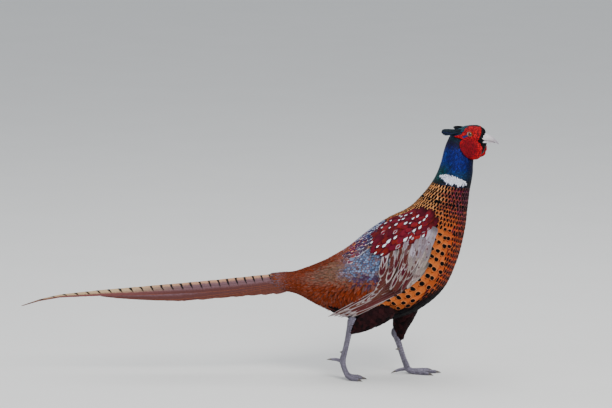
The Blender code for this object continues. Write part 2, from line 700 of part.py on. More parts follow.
def tail_vane(pair, sign):
    """One tail feather. The pairs lie on two slopes, each below and outside the one before."""
    slope = Vector((0, sign * math.cos(ROOF_SLOPE), -math.sin(ROOF_SLOPE)))
    out = Vector((0, sign * math.sin(ROOF_SLOPE), math.cos(ROOF_SLOPE)))
    steps, start, end = PAIR_STEPS[pair], 64.0, PAIR_TIPS[pair]
    stations = []
    for i in range(steps + 1):
        t = i / steps
        x = start + (end - start) * t
        if pair == 0:
            width = along_table(CENTRAL_WIDTHS, x)
            shift = 0.6
        else:
            width = SIDE_WIDTH * (0.75 + 0.25 * min(t * 3, 1)) * (1 - 0.9 * max(t - 0.6, 0) ** 1.2 / 0.333)
            shift = 0.6 + PAIR_SHIFT * pair + PAIR_SPREAD * t * (2 * t if t < 0.5 else 1)
        middle = Vector((x, 0, along_table(RIDGE, x))) + slope * (shift + width / 2)
        middle -= out * PAIR_LAYER * pair
        stations.append((middle * MM, slope, out, width / 2 * MM, TAIL_THICKNESS * MM))
    return blade("vane", stations, "tail")


def make_tail():
    """The long graduated tail, all its feathers joined in one base."""
    tail = sections("tail", TAIL_BASE, "tail", 12)
    vanes = [tail_vane(pair, sign) for pair in range(len(PAIR_TIPS)) for sign in (1, -1)]
    combine(tail, "UNION", vanes)
    combine(tail, "DIFFERENCE", [body_form("cut", GAP), grown_copy("rump")])


def covert(root, tip, out, half):
    """A flat covert at the tail's root, from root to tip in mm, bellied out in its middle."""
    root, tip, out = Vector(root), Vector(tip), Vector(out).normalized()
    along = (tip - root).normalized()
    across = along.cross(out).normalized()
    stations = []
    for t, width in ((0.0, 0.6), (0.5, 1.0), (1.0, 0.3)):
        middle = root.lerp(tip, t) + out * 2.5 * math.sin(math.pi * t)
        stations.append((middle * MM, across, out, half * width * MM, VANE_THICKNESS * MM))
    return blade("vane", stations, "rump")


def tail_coverts():
    """The coverts over and under the tail's root, which grow from the rump."""
    vanes = []
    for i in range(UPPER_COVERTS):
        t = i / (UPPER_COVERTS - 1) * 2 - 1
        out = (0.1, math.sin(t * 1.1), math.cos(t * 1.1))
        root = (82.0, 18.0 * t, 186.0 - 14 * t * t)
        tip = (12.0 + 16 * abs(t), 17.0 * t, 184.0 - 12 * t * t - 1.5 * (i % 2))
        vanes.append(covert(root, tip, out, 7.0))
    for i in range(UNDER_COVERTS):
        t = i / (UNDER_COVERTS - 1) * 2 - 1
        out = (0.2, math.sin(t), -math.cos(t))
        root = (86.0, 15.0 * t, 136.0 + 5 * t * t)
        tip = (24.0 + 10 * abs(t), 13.0 * t, 134.0 + 4 * t * t + 1.5 * (i % 2))
        vanes.append(covert(root, tip, out, 6.5))
    return vanes


def floor_cut():
    """Everything below the floor, so that the toes stand on small flats."""
    return plate("floor_cut", ((60, 0), (360, 0), (360, -30), (60, -30)), -90, 90, "leg")


def on_floor(row):
    """The toe's row, let down on the floor where its z is 0, so that it keeps a small flat."""
    x, y, z, radius = row
    under = radius * math.cos(math.pi / TOE_SIDES)
    return (x, y, z if z else under - TOE_FLAT, radius)


def make_leg(side):
    thigh_name, shank_name = f"thigh_{side}", f"shank_{side}"
    thigh = tube(thigh_name, THIGHS[thigh_name], "thigh", 14)
    shank_cut = swell(tube("cut", SHANKS[shank_name], "leg", 12), GAP)
    combine(thigh, "DIFFERENCE", [body_form("body", GAP), shank_cut])
    tube(shank_name, SHANKS[shank_name], "leg", 12)
    toes = {key: [on_floor(row) for row in rows] for key, rows in TOES[side].items()}
    foot = ball(f"foot_{side}", toes["middle"][0][:3], [KNUCKLE_RADIUS] * 3, "leg", False, 8)
    combine(foot, "UNION", [tube("toe", rows, "leg", TOE_SIDES) for rows in toes.values()])
    combine(foot, "DIFFERENCE", [swell(tube("cut", SHANKS[shank_name], "leg", 12), GAP), floor_cut()])
    for key, rows in toes.items():
        make_claw(f"claw_{side}_{key}", rows)
    spur_root, spur_tip = (Vector(p) for p in SPURS[f"spur_{side}"])
    rows = [(*spur_root.lerp(spur_tip, t), SPUR_RADIUS * r)
            for t, r in ((-0.2, 1.0), (0.3, 0.9), (0.7, 0.55), (1.0, 0.12))]
    spur = tube(f"spur_{side}", rows, "claw", 8)
    combine(spur, "DIFFERENCE", [swell(tube("cut", SHANKS[shank_name], "leg", 12), GAP)])


def make_claw(name, rows):
    """A curved claw that starts a gap past its toe's end, and clear of the floor."""
    end, before = Vector(rows[-1][:3]), Vector(rows[-2][:3])
    ahead = (end - before).normalized()
    radius = rows[-1][3]
    start = end + ahead * (GAP / MM)
    path = []
    for share, size in ((0.0, 0.72), (0.35, 0.62), (0.7, 0.4), (1.0, 0.1)):
        spot = start + ahead * CLAW_LENGTH * share
        spot.z -= CLAW_DROOP * share * share
        size *= radius
        path.append((spot.x, spot.y, max(spot.z, size + 0.1), size))
    tube(name, path, "claw", 6)


def make_bird():
    clear_scene()
    make_head()
    make_bill()
    make_face("face_left", 1)
    make_face("face_right", -1)
    make_ear_tufts()
    make_body()
    make_wing("wing_left", 1)
    make_wing("wing_right", -1)
    make_tail()
    make_leg("left")
    make_leg("right")


make_bird()
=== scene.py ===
"""A cock common pheasant, life size, walking, in full plumage. Metres, +X towards the bill, +Z up.

One skin lies inside the body's solids, and every feather is a thin vane laid on it. A feather's place
is read from the same sections as the body's solid, its colours from where it lies on the bird."""

import math

import bmesh
import bpy
import numpy as np
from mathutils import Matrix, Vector
from mathutils.bvhtree import BVHTree


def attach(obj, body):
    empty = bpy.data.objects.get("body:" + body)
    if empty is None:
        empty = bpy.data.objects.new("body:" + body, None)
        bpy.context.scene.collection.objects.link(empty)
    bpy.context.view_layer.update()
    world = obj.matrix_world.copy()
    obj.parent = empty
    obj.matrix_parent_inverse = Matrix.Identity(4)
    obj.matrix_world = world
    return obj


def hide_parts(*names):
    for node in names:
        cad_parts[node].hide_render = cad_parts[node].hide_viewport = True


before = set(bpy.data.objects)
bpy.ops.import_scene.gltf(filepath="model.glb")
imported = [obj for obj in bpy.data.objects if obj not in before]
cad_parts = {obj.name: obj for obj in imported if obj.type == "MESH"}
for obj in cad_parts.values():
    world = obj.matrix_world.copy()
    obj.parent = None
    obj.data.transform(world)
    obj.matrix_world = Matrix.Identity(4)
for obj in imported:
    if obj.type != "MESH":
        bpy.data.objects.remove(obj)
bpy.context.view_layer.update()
rng = np.random.default_rng(20)

MM = 0.001
SIDES = (("left", 1), ("right", -1))

# Sections of the body in mm, bill base to tail: back x, z, front x, z, half width.
SKIN = np.array((
    (387, 426.5, 386, 409, 3.6), (385, 431, 388, 406.5, 5.8), (379, 435, 387.5, 404, 8.8),
    (369, 436.5, 386, 401, 12), (356, 435.5, 383, 397.5, 14), (342, 432, 378, 392.5, 15.2),
    (331, 426, 372.5, 388, 16.6), (325, 419, 368, 383.5, 17.6), (321, 411, 365, 378.5, 18.8),
    (315.5, 396, 364, 368, 21.5), (309.5, 372, 363.5, 355, 24), (302, 352, 361.5, 341, 26),
    (292, 335, 358.5, 324.5, 29), (275, 314, 355, 295, 36), (253, 293.5, 350, 255, 46),
    (222, 278, 337, 203, 55), (187.5, 255.5, 311, 150.5, 60), (153, 227.5, 262, 113, 59),
    (122, 208.5, 208, 99, 53), (98, 197.5, 157, 102, 43), (77, 189.5, 105, 122, 31),
    (57, 183, 65, 144, 20), (34, 181, 40, 150, 14), (8, 178.5, 14, 154, 11), (-25, 175, -20, 158, 8),
))
LAST_SECTION = len(SKIN) - 1
BODY_STEP = (0.02, 0.01)
HEAD_TURN = math.radians(12)
TURN_X = 343 * MM
TURN_Z = (330 * MM, 392 * MM)

# The folded wing's bed in mm: its middle, where its reach halves along and across it, and the reach.
SHIELD_X, SHIELD_Z, SHIELD_LONG, SHIELD_HIGH, SHIELD_OUT = 238, 204, 150, 92, 60.5
SHIELD_LEAN = math.radians(38)

# Head details in mm. A bill row is x, top, bottom and half width.
EYE = np.array((361.5, 10.6, 423.3))
EYE_RADIUS = 6.0
FACE_EDGE = (
    (333, 419), (347, 423.5), (353, 434), (362, 440), (376, 439.5), (380.5, 432), (380.5, 424),
    (378.5, 417.5), (375, 413), (379.5, 407), (384, 398), (381.5, 388), (375, 382), (366, 379.5),
    (358.5, 382.5), (351.5, 390), (346.5, 398), (344.5, 405.5), (345.5, 411.5), (350, 414), (345, 416.5),
)
FACE_SEEN = ((333, 420), (347, 424), (353, 429.5), (358, 434), (367, 437.6), *FACE_EDGE[4:])
BILL_UPPER = (
    (369.5, 416, 411.6, 11.4), (375, 420.5, 411.9, 11), (380, 424.6, 412.2, 9.7), (386, 424.8, 412, 8.1),
    (393, 422.2, 411.4, 5.9), (399, 418.4, 410.7, 4.3), (404, 413.7, 409, 2.8), (407.5, 409.8, 406.6, 1.6),
    (409.4, 406.8, 405.5, 0.6),
)
BILL_LOWER = (
    (373, 412, 408.6, 10.2), (380, 412.4, 406.8, 9), (386.5, 412, 407.6, 6.9), (393, 411.4, 408.2, 4.5),
    (399.5, 410.6, 408.2, 2.7), (402.6, 409.2, 407.8, 1.1),
)
NOSTRIL = (388.0, 7.2, 419.4)
NOSTRIL_FLAP = (387.0, 7.2, 421.0)

# The side view: a place on the bird in pixels, one pixel to 1.72 mm.
PIXEL = 1.72
VIEW_X, VIEW_Y = 261.0, 377.0
TILT = math.radians(8)
# How much higher the folded wing lies, in mm, than the bird's middle that shows at the same pixel.
WING_RISE = 8.2

# Lines in the side view. Front, back, gold and ledge give x at each y, belly and collar y at each x.
FRONT_LINE = ((160, 472), (181, 470), (200, 468.5), (220, 466), (240, 462.5), (260, 457), (270, 453.5),
              (278, 450), (286, 445), (293, 438), (300, 430), (313, 418), (320, 405))
BACK_LINE = ((137, 451), (160, 442), (180, 434), (190, 425), (202, 412), (213, 398), (222, 380),
             (238, 360), (252, 340), (262, 320), (269, 300), (271, 290))
BACK_TOP = tuple((x, y) for y, x in BACK_LINE)
BELLY_LINE = ((318, 305), (330, 309), (345, 311), (360, 309), (380.7, 307), (394.8, 310), (409.8, 305),
              (418, 300), (430.5, 294), (439.6, 288.5), (452, 281))
COLLAR_LINE = ((430, 182), (446, 185), (456, 186.5), (464, 186), (472, 184))
GOLD_LINE = ((182, 458), (186, 452), (190, 446), (200, 440), (215, 436))
LEDGE = ((228, 378), (240, 377), (254, 381), (266, 383), (280, 380), (290, 372), (303, 355), (312, 330))

# Outlines in the side view.
SCAPULAR = ((374, 254), (373, 243), (375, 232), (381, 225), (391, 218), (401, 214), (410, 212), (420, 212),
            (428, 213.5), (433, 218), (434, 226), (429, 230), (423.5, 233.5), (418, 239), (412, 241.5),
            (406, 242.5), (401, 248), (391, 252.5), (380, 256))
WING_COVER = ((428, 236), (424, 243), (422, 253), (419, 265), (416, 275), (410, 282), (400, 287),
              (390, 294), (378, 299), (366, 302), (368, 292), (376, 282), (386, 262), (386, 250),
              (408, 244))
COLLAR_PATCH = ((439.6, 175.6), (443, 175), (447, 175), (452, 176.4), (458.5, 178.8), (464.5, 181.2),
                (467, 183.8), (460.5, 185.2), (453.8, 184.6), (448, 183.6), (444, 180.6))


def hexed(code):
    """Linear colour of a six-digit code."""
    parts = np.array([int(code[i:i + 2], 16) / 255 for i in (0, 2, 4)])
    return np.where(parts <= 0.04045, parts / 12.92, ((parts + 0.055) / 1.055) ** 2.4)


PALETTE = {name: hexed(code) for name, code in dict(
    black="050408", ink="0b0912", forehead="07080c", crown="06222e", crown_teal="0a4650",
    crown_blue="0b2a74", nape="150e28", neck_blue="0a1c74", neck_azure="1146a4", neck_teal="06443e",
    neck_dark="050e20", collar="fcfcff", collar_shade="b4bada", gold="cf7f3c", gold_pale="eab27c",
    copper="a8340f", maroon="6c0f26", purple="3a1442", flank="b25a26", flank_edge="70280e",
    rust="85230d", crimson="560c20", scarlet="74181c", drop="dfe6f0", grey_buff="948882",
    lilac="908ba8", pale="ab9fa6", wine="481020", brown="5a3428", quill="3a211e", quill_edge="978a8c",
    slate="3c4a6c", blue_grey="7086aa", pale_blue="b6bcd0", navy="161c46", violet="382244",
    rufous="70290f", rufous_dark="4a1408", mauve="704c42", moss="6a5a48", belly="080507",
    belly_purple="12080f", thigh="2c1013", covert_lilac="6e5860", covert_orange="8c4426",
    tail_buff="b49a78", tail_ridge="b08468", tail_purple="54302e", tail_dusk="6e4040",
    tail_rufous="96502e", tail_mauve="6a4e54", bar="100a0c",
).items()}


def tone(colour):
    """The colour of a palette name, or the colours given."""
    return PALETTE[colour] if isinstance(colour, str) else np.asarray(colour)


def smooth(value, low, high):
    t = np.clip((value - low) / (high - low), 0, 1)
    return t * t * (3 - 2 * t)


def mixed(first, second, share):
    share = np.asarray(share, float)[..., None]
    return tone(first) * (1 - share) + tone(second) * share


def layered(base, *coats):
    """The base colour under one colour after another, each followed by its share."""
    for colour, share in zip(coats[::2], coats[1::2]):
        base = mixed(base, colour, share)
    return base


def inside(polygon, x, y):
    """True where the points lie in the polygon."""
    found = np.zeros(np.shape(x), bool)
    corners = np.array(polygon, float)
    for (x0, y0), (x1, y1) in zip(corners, np.roll(corners, -1, axis=0)):
        if y0 != y1:
            found ^= ((y0 > y) != (y1 > y)) & (x < (x1 - x0) * (y - y0) / (y1 - y0) + x0)
    return found


def line_at(line, key):
    keys, values = zip(*sorted(line))
    return np.interp(key, keys, values)


def picked(lies, *rows):
    return [row[lies] for row in rows]


def unit(v):
    return v / np.linalg.norm(v, axis=-1, keepdims=True)


def curve_rows(table, u):
    """The table's row at each u, by a curve through the rows."""
    last = len(table) - 1
    u = np.clip(u, 0, last)
    i = np.minimum(u.astype(int), last - 1)
    t = (u - i)[..., None]
    padded = np.vstack((2 * table[0] - table[1], table, 2 * table[-1] - table[-2]))
    p0, p1, p2, p3 = (padded[i + k] for k in range(4))
    return 0.5 * (2 * p1 + (p2 - p0) * t + (2 * p0 - 5 * p1 + 4 * p2 - p3) * t**2
                  + (3 * p1 - p0 - 3 * p2 + p3) * t**3)


def turned(p):
    """The points after the head's turn, which grows from the collar up."""
    angle = -HEAD_TURN * smooth(p[..., 2], *TURN_Z)
    x, y = p[..., 0] - TURN_X, p[..., 1]
    cos, sin = np.cos(angle), np.sin(angle)
    return np.stack((TURN_X + x * cos - y * sin, x * sin + y * cos, p[..., 2]), -1)


def straight_body(c):
    """Points of the body's surface at section u and angle a from the back, before the turn."""
    bx, bz, fx, fz, half = np.moveaxis(curve_rows(SKIN, c[..., 0]), -1, 0)
    cos, sin = np.cos(c[..., 1]), np.sin(c[..., 1])
    return np.stack(((bx + fx) / 2 + (bx - fx) / 2 * cos, half * sin,
                     (bz + fz) / 2 + (bz - fz) / 2 * cos), -1) * MM


def shield_rise(p):
    """How far the folded wing's bed stands off the body, in metres."""
    x, z = p[..., 0] / MM - SHIELD_X, p[..., 2] / MM - SHIELD_Z
    cos, sin = math.cos(SHIELD_LEAN), math.sin(SHIELD_LEAN)
    along, across = x * cos + z * sin, -x * sin + z * cos
    shield = SHIELD_OUT * (1 - 0.5 * (along / SHIELD_LONG) ** 2 - 0.5 * (across / SHIELD_HIGH) ** 2)
    fade = np.clip((262 - p[..., 2] / MM) / 37, 0, 1)
    return np.maximum(shield - np.abs(p[..., 1]) / MM, 0) * fade * MM


def body(c):
    return turned(straight_body(c))


def winged_body(c):
    """The body's surface, let out to the folded wing's bed at the sides."""
    p = straight_body(c)
    rise = shield_rise(p) * smooth(np.abs(np.sin(c[..., 1])), 0.3, 0.75)
    p[..., 1] += np.sign(p[..., 1]) * rise
    return turned(p)


def picture(p):
    """Where the points show in the side view, as if they were all on the near side."""
    rise = p[..., 2] * math.cos(TILT) - np.abs(p[..., 1]) * math.sin(TILT)
    return VIEW_X + p[..., 0] / MM / PIXEL, VIEW_Y - rise / MM / PIXEL


def below_back(x, y):
    """How many pixels a place in the side view lies under the back's line."""
    return y - line_at(BACK_TOP, x)


def behind_front(x, y):
    """How many pixels a place in the side view lies behind the front's line."""
    return line_at(FRONT_LINE, y) - x


def slopes(chart, c, step):
    """The chart's change over two steps along each of its coordinates."""
    first, second = np.array((step[0], 0.0)), np.array((0.0, step[1]))
    return chart(c + first) - chart(c - first), chart(c + second) - chart(c - second)


def normals_at(chart, c, step, side=1):
    along, across = slopes(chart, c, step)
    n = np.cross(across, along) * side
    return n / np.maximum(np.linalg.norm(n, axis=-1, keepdims=True), 1e-12)


def metric(chart, c, step):
    """Metres for each unit of both of the chart's coordinates."""
    return [np.linalg.norm(run, axis=-1) / (2 * size) for run, size in zip(slopes(chart, c, step), step)]


class Wire:
    """An output of a shader node. Each sum with it adds a node."""

    def __init__(self, look, socket):
        self.look, self.socket = look, socket

    def math(self, operation, *values):
        return self.look.node("ShaderNodeMath", dict(enumerate((self, *values))), operation=operation)

    def __add__(self, other):
        return self.math("ADD", other)

    def __sub__(self, other):
        return self.math("SUBTRACT", other)

    def __rsub__(self, other):
        return self.look.node("ShaderNodeMath", {0: other, 1: self}, operation="SUBTRACT")

    def __mul__(self, other):
        return self.math("MULTIPLY", other)

    def __truediv__(self, other):
        return self.math("DIVIDE", other)

    def __pow__(self, other):
        return self.math("POWER", other)

    def __abs__(self):
        return self.math("ABSOLUTE")


class Look:
    """A material in the making. A colour is a wire, a palette name or three numbers."""

    def __init__(self, name, roughness, metallic=0.0, **sockets):
        self.material = bpy.data.materials.new(name)
        self.material.use_nodes = True
        self.tree = self.material.node_tree
        self.shader = self.tree.nodes["Principled BSDF"]
        for key, value in dict(Roughness=roughness, Metallic=metallic, **sockets).items():
            self.shader.inputs[key.replace("_", " ")].default_value = value

    def node(self, kind, inputs=(), output=0, **settings):
        """One output of a new node, or all of them, its inputs set to values or linked to wires."""
        made = self.tree.nodes.new(kind)
        for key, value in settings.items():
            setattr(made, key, value)
        for key, value in dict(inputs).items():
            if isinstance(value, Wire):
                self.tree.links.new(value.socket, made.inputs[key])
            else:
                made.inputs[key].default_value = value
        if output is None:
            return [Wire(self, socket) for socket in made.outputs]
        return Wire(self, made.outputs[output])

    def held(self, name, part="Vector"):
        return self.node("ShaderNodeAttribute", output=part, attribute_name=name)

    def parts(self, name):
        """The three numbers held on each point under a name."""
        return self.node("ShaderNodeSeparateXYZ", {0: self.held(name)}, None)

    def place(self):
        return self.node("ShaderNodeTexCoord", output="Object")

    def noise(self, scale, detail=3.0, place=None):
        inputs = {"Vector": place or self.place(), "Scale": scale, "Detail": detail}
        return self.node("ShaderNodeTexNoise", inputs, "Fac")

    def cells(self, scale, **settings):
        inputs = {"Vector": self.place(), "Scale": scale}
        return self.node("ShaderNodeTexVoronoi", inputs, "Distance", **settings)

    def eased(self, value, low, high, first=0.0, last=1.0):
        return self.node("ShaderNodeMapRange", {0: value, 1: low, 2: high, 3: first, 4: last},
                         interpolation_type="SMOOTHSTEP")

    def blend(self, share, a, b, mode="MIX"):
        a, b = (c if isinstance(c, Wire) else (*tone(c), 1) for c in (a, b))
        return self.node("ShaderNodeMix", {0: share, 6: a, 7: b}, 2, data_type="RGBA", blend_type=mode)

    def link(self, socket, wire):
        self.tree.links.new(wire.socket, self.shader.inputs[socket])

    def finish(self, colour, light=None, height=None, strength=0.5, distance=0.0):
        """Links the colour, made lighter or darker by light, and the bump."""
        if light is not None:
            grey = self.node("ShaderNodeCombineColor", {0: light, 1: light, 2: light})
            colour = self.blend(1.0, colour, grey, "MULTIPLY")
        self.link("Base Color", colour)
        if height is not None:
            inputs = {"Strength": strength, "Distance": distance, "Height": height}
            self.link("Normal", self.node("ShaderNodeBump", inputs))
        return self.material


def feather_material(name, roughness, metallic=0.0, gloss=0.2, spread=0.35, barbs=0.5, root=0.4,
                     taper=0.0, square_power=2.4):
    """A vane's material: base, edge, mark and the mark's ring, from values held on each feather, with painted
    shade towards the root.
    """
    look = Look(name, roughness, metallic, Specular_IOR_Level=gloss)
    across, along, rim = look.parts("place")
    border, mark_x, mark_y = look.parts("sizes")
    mark_at, ring_scale, chevron = look.parts("shape")
    rough, fine = look.noise(900) - 0.5, look.noise(260) - 0.5
    wide = abs(across)
    edge_start = 1.0 - border
    edge = look.eased(rim + rough * 0.3, edge_start - border * 0.35, edge_start)
    lean = (along + wide * chevron - mark_at) / mark_y.math("MAXIMUM", 0.001)
    narrow = (lean * taper + 1.0).math("MAXIMUM", 0.1)
    off = wide / (mark_x * narrow).math("MAXIMUM", 0.001)
    square = off ** square_power + abs(lean) ** square_power
    reach = square ** (1 / square_power) + rough * 0.7
    shaft = look.eased(wide, 0.03, 0.1, 0.35, 0.0) * look.eased(along, 0.2, 0.9, 1.0, 0.0)
    ring = look.eased(reach * ring_scale, 0.86, 1.06, 1.0, 0.0)
    mark = look.eased(reach, 0.86, 1.08, 1.0, 0.0)
    colour = look.held("base")
    for share, top in ((edge, "edge"), (shaft, "edge"), (ring, "ring"), (mark, "mark")):
        colour = look.blend(share, colour, look.held(top))
    streak = look.node("ShaderNodeCombineXYZ", {0: across * 9.0, 1: along * 1.6, 2: fine})
    strands = look.noise(2.2, 4.0, streak)
    light = ((strands - 0.5) * (2 * spread) + 1.0) * (fine * 0.5 + 1.0)
    # Painted shade: each vane darkens towards its root, down to root times its colour, where it lies under
    # the feathers over it.
    light = light * look.eased(along, 0.1, 0.6, root, 1.0)
    ripple = ((along * 60.0 - wide * 26.0) * 3.1).math("SINE")
    look.link("Roughness", strands * 0.2 + (roughness - 0.08))
    return look.finish(colour, light, ripple * (0.25 * barbs) + strands, 0.5, 0.0006)


def paint(count, base, edge=None, mark=None, ring=None, border=0.12, size=(0.0, 0.0), at=0.8,
          ring_scale=1.4, chevron=0.0):
    """The colours and mark sizes of so many feathers, each given once or for every feather."""
    def spread(value, width=1):
        return np.broadcast_to(np.asarray(value, float).reshape(-1, width), (count, width)).copy()
    base = spread(tone(base), 3)
    edge = spread(base * 0.75 if edge is None else tone(edge), 3)
    mark = spread(base if mark is None else tone(mark), 3)
    ring = spread(mark if ring is None else tone(ring), 3)
    sizes = np.hstack([spread(value) for value in (border, *size)])
    shape = np.hstack([spread(value) for value in (at, ring_scale, chevron)])
    return {"base": base, "edge": edge, "mark": mark, "ring": ring, "sizes": sizes, "shape": shape}


def shaded(colours, amount):
    """The same colours, each feather a little lighter or darker."""
    change = 1 + amount * (rng.random((len(colours["base"]), 1)) * 2 - 1)
    for key in ("base", "edge"):
        colours[key] = colours[key] * change
    return colours


def hold(mesh, **values):
    """Holds three numbers, or one, on each point of the mesh, under each name."""
    for key, value in values.items():
        value = np.asarray(value, np.float32)
        kind, field = ("FLOAT", "value") if value.ndim == 1 else ("FLOAT_VECTOR", "vector")
        mesh.attributes.new(key, kind, "POINT").data.foreach_set(field, value.ravel())


def coordinates(mesh, key="co"):
    values = np.zeros(len(mesh.vertices) * 3)
    mesh.vertices.foreach_get(key, values)
    return values.reshape(-1, 3)


def make_mesh(name, points, faces, material=None, mended=True, flat=None, **values):
    """A smooth mesh. flat gives each point's place on its map, mended turns its faces outwards."""
    mesh = bpy.data.meshes.new(name)
    mesh.from_pydata(np.asarray(points, float).tolist(), [], faces)
    hold(mesh, **values)
    if flat is not None:
        corner = np.zeros(len(mesh.loops), np.int32)
        mesh.loops.foreach_get("vertex_index", corner)
        uv = mesh.uv_layers.new(name="OFBake")
        uv.data.foreach_set("uv", np.asarray(flat, np.float32)[corner].ravel())
    if mended:
        bm = bmesh.new()
        bm.from_mesh(mesh)
        bmesh.ops.recalc_face_normals(bm, faces=bm.faces)
        bm.to_mesh(mesh)
        bm.free()
    if material:
        mesh.materials.append(material)
    mesh.shade_smooth()
    return mesh


def tube_faces(steps, sides):
    """Quads between the rings of a tube, and its two ends."""
    quads = [(i * sides + k, i * sides + (k + 1) % sides, (i + 1) * sides + (k + 1) % sides,
              (i + 1) * sides + k) for i in range(steps) for k in range(sides)]
    return quads + [tuple(range(sides)), tuple(range(steps * sides, (steps + 1) * sides))]


def show(name, data):
    made = bpy.data.objects.new(name, data)
    bpy.context.scene.collection.objects.link(made)
    return made


def put(name, mesh, slot, *replaced):
    made = show(name, mesh)
    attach(made, "root")
    if replaced:
        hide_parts(*replaced)
    return made


# A vane's outline: how far along it, and its width there.
ROUND_FORM = ((0.0, 0.45), (0.2, 0.85), (0.45, 1.0), (0.68, 0.97), (0.86, 0.74), (0.96, 0.42), (1.0, 0.16))
LONG_FORM = ((0.0, 0.5), (0.15, 0.9), (0.4, 1.0), (0.7, 0.85), (0.87, 0.6), (0.96, 0.32), (1.0, 0.12))
STRAND_FORM = ((0.0, 0.6), (0.3, 1.0), (0.65, 0.8), (0.88, 0.5), (1.0, 0.08))
SMALL_FORM = ((0.0, 0.5), (0.3, 0.95), (0.6, 1.0), (0.85, 0.75), (0.96, 0.4), (1.0, 0.15))
# Each feather's size on the flat map.
FEATHER_PATCH = (0.0015, 0.003)


def vane_faces(rows, sides):
    """A vane's upper quads, its flat underside and its two ends."""
    columns, under, faces = sides + 1, rows * (sides + 1), []
    for r in range(rows - 1):
        faces += [(a, a + columns, a + columns + 1, a + 1) for a in range(r * columns, r * columns + sides)]
        b = under + r * 2
        faces.append((b, b + 1, b + 3, b + 2))
    return faces + [tuple(range(columns)), tuple(range(under - 1, under - columns - 1, -1))]


class Coat:
    """Collects laid feathers and makes one mesh of them."""

    def __init__(self):
        self.points, self.faces, self.values, self.marks = [], [], {}, []

    def lay(self, chart, at, along, across, length, half, lifts, colours, form=ROUND_FORM, sides=4,
            camber=0.16, bend=0.0, side=1, step=BODY_STEP, patch=None):
        """Lays feathers. along and across are steps in the chart for each metre of the feather."""
        count = len(at)
        if not count:
            return
        spot = at if patch is None else patch
        t, wide = (row[:, None] for row in np.array(form).T)
        s = np.linspace(-1, 1, sides + 1)
        at, along, across = (v[:, None, None, :] for v in (at, along, across))
        length, half, bend, low, high = (np.broadcast_to(v, count)[:, None, None]
                                         for v in (length, half, bend, *lifts))
        fuzz = 1 + 0.1 * (rng.random((count, len(t), 1)) - 0.5)
        out = s * wide * half * fuzz + bend * length * np.sin(np.pi * t * 0.5) ** 2
        run = t * length - s**2 * t**5 * half * 0.35
        c = at + along * run[..., None] + across * out[..., None]
        normal = normals_at(chart, c, step, side)
        lift = low + (high - low) * t**0.75 + camber * half * (1 - s**2) * wide
        top = chart(c) + normal * lift[..., None]
        points = np.concatenate((top.reshape(count, -1, 3), top[:, :, [0, -1]].reshape(count, -1, 3)), 1)
        rim = np.maximum(np.abs(s), smooth(t, 0.72, 1.0))
        place = np.stack((s * wide / wide.max(), np.broadcast_to(t, rim.shape), rim), -1)
        place = np.concatenate((place.reshape(-1, 3), place[:, [0, -1]].reshape(-1, 3)))
        faces = vane_faces(len(t), sides)
        if np.dot(np.cross(top[0, 1, 0] - top[0, 0, 0], top[0, 0, 1] - top[0, 0, 0]), normal[0, 0, 0]) < 0:
            faces = [f[::-1] for f in faces]
        offsets = sum(len(p) for p in self.points) + len(place) * np.arange(count)
        self.points.append(points.reshape(-1, 3))
        for corners in (4, sides + 1):
            block = np.array([f for f in faces if len(f) == corners])[None] + offsets[:, None, None]
            self.faces += block.reshape(-1, corners).tolist()
        for key, value in colours.items():
            self.values.setdefault(key, []).append(np.repeat(value, len(place), axis=0))
        self.values.setdefault("place", []).append(np.tile(place, (count, 1)))
        self.marks.append((spot, place))

    def build(self, name, material, slot, unwrap, *replaced):
        """One object of all the laid feathers. unwrap gives each root's place on the flat map."""
        flat = []
        for spot, place in self.marks:
            local = (place[:, :2] - (0.0, 0.5)) * FEATHER_PATCH
            flat.append((unwrap(spot)[:, None, :] + local[None]).reshape(-1, 2))
        values = {key: np.concatenate(parts) for key, parts in self.values.items()}
        mesh = make_mesh(name, np.concatenate(self.points), self.faces, material, False,
                         np.concatenate(flat), **values)
        return put(name, mesh, slot, *replaced)


def body_map(c):
    """The unwrap of the body: sections along, angle across."""
    return np.stack((0.02 + 0.96 * c[..., 0] / LAST_SECTION, 0.5 + 0.47 * c[..., 1] / math.pi), -1)


def wing_map(c):
    return np.stack((0.02 + 0.96 * (c[..., 0] - 0.09) / 0.26, 0.02 + 0.96 * (c[..., 1] - 0.09) / 0.2), -1)


def lattice(start, end, columns, ratio, wobble=0.12):
    """Staggered places on the body: section, angle, and the row and column spacing in the chart."""
    rows, spacing, u = [], [], start
    while u < end:
        rate = metric(body, np.array(((u, math.pi / 2),)), BODY_STEP)[0][0]
        bx, bz, fx, fz, half = curve_rows(SKIN, np.array([u]))[0] * MM
        long = math.hypot(bx - fx, bz - fz) / 2
        girth = math.pi * (3 * (long + half) - math.sqrt((3 * long + half) * (long + 3 * half)))
        step = ratio * girth / columns / rate
        angles = (np.arange(columns) + 0.5 * (len(rows) % 2)) * 2 * math.pi / columns - math.pi
        rows.append(np.stack((np.full(columns, u), angles), -1))
        spacing.append(np.full(columns, step))
        u += step
    at, step = np.concatenate(rows), np.concatenate(spacing)
    turn = np.full(len(at), 2 * math.pi / columns)
    stray = (rng.random((2, len(at))) - 0.5) * wobble
    return at + np.stack((stray[0] * step, stray[1] * turn), -1), step, turn


def laid_on_body(coat, places, colours, lifts, overlap=2.3, fullness=1.5, swing=0.0, chart=body,
                 ragged=0.1, **more):
    """Feathers that follow the body's lie, sized by their spacing. swing leans them towards the belly."""
    at, step, turn = places
    first, second = metric(chart, at, BODY_STEP)
    swing = np.broadcast_to(swing, len(at)) + (rng.random(len(at)) - 0.5) * 0.14
    lean = np.sign(at[:, 1]) * np.sin(swing)
    along = np.stack((np.cos(swing) / first, lean / second), -1)
    across = np.stack((-lean / first, np.cos(swing) / second), -1)
    length = overlap * step * first * (1 + ragged * (rng.random(len(at)) - 0.5))
    coat.lay(chart, at, along, across, length, fullness * turn * second / 2, lifts, colours, **more)


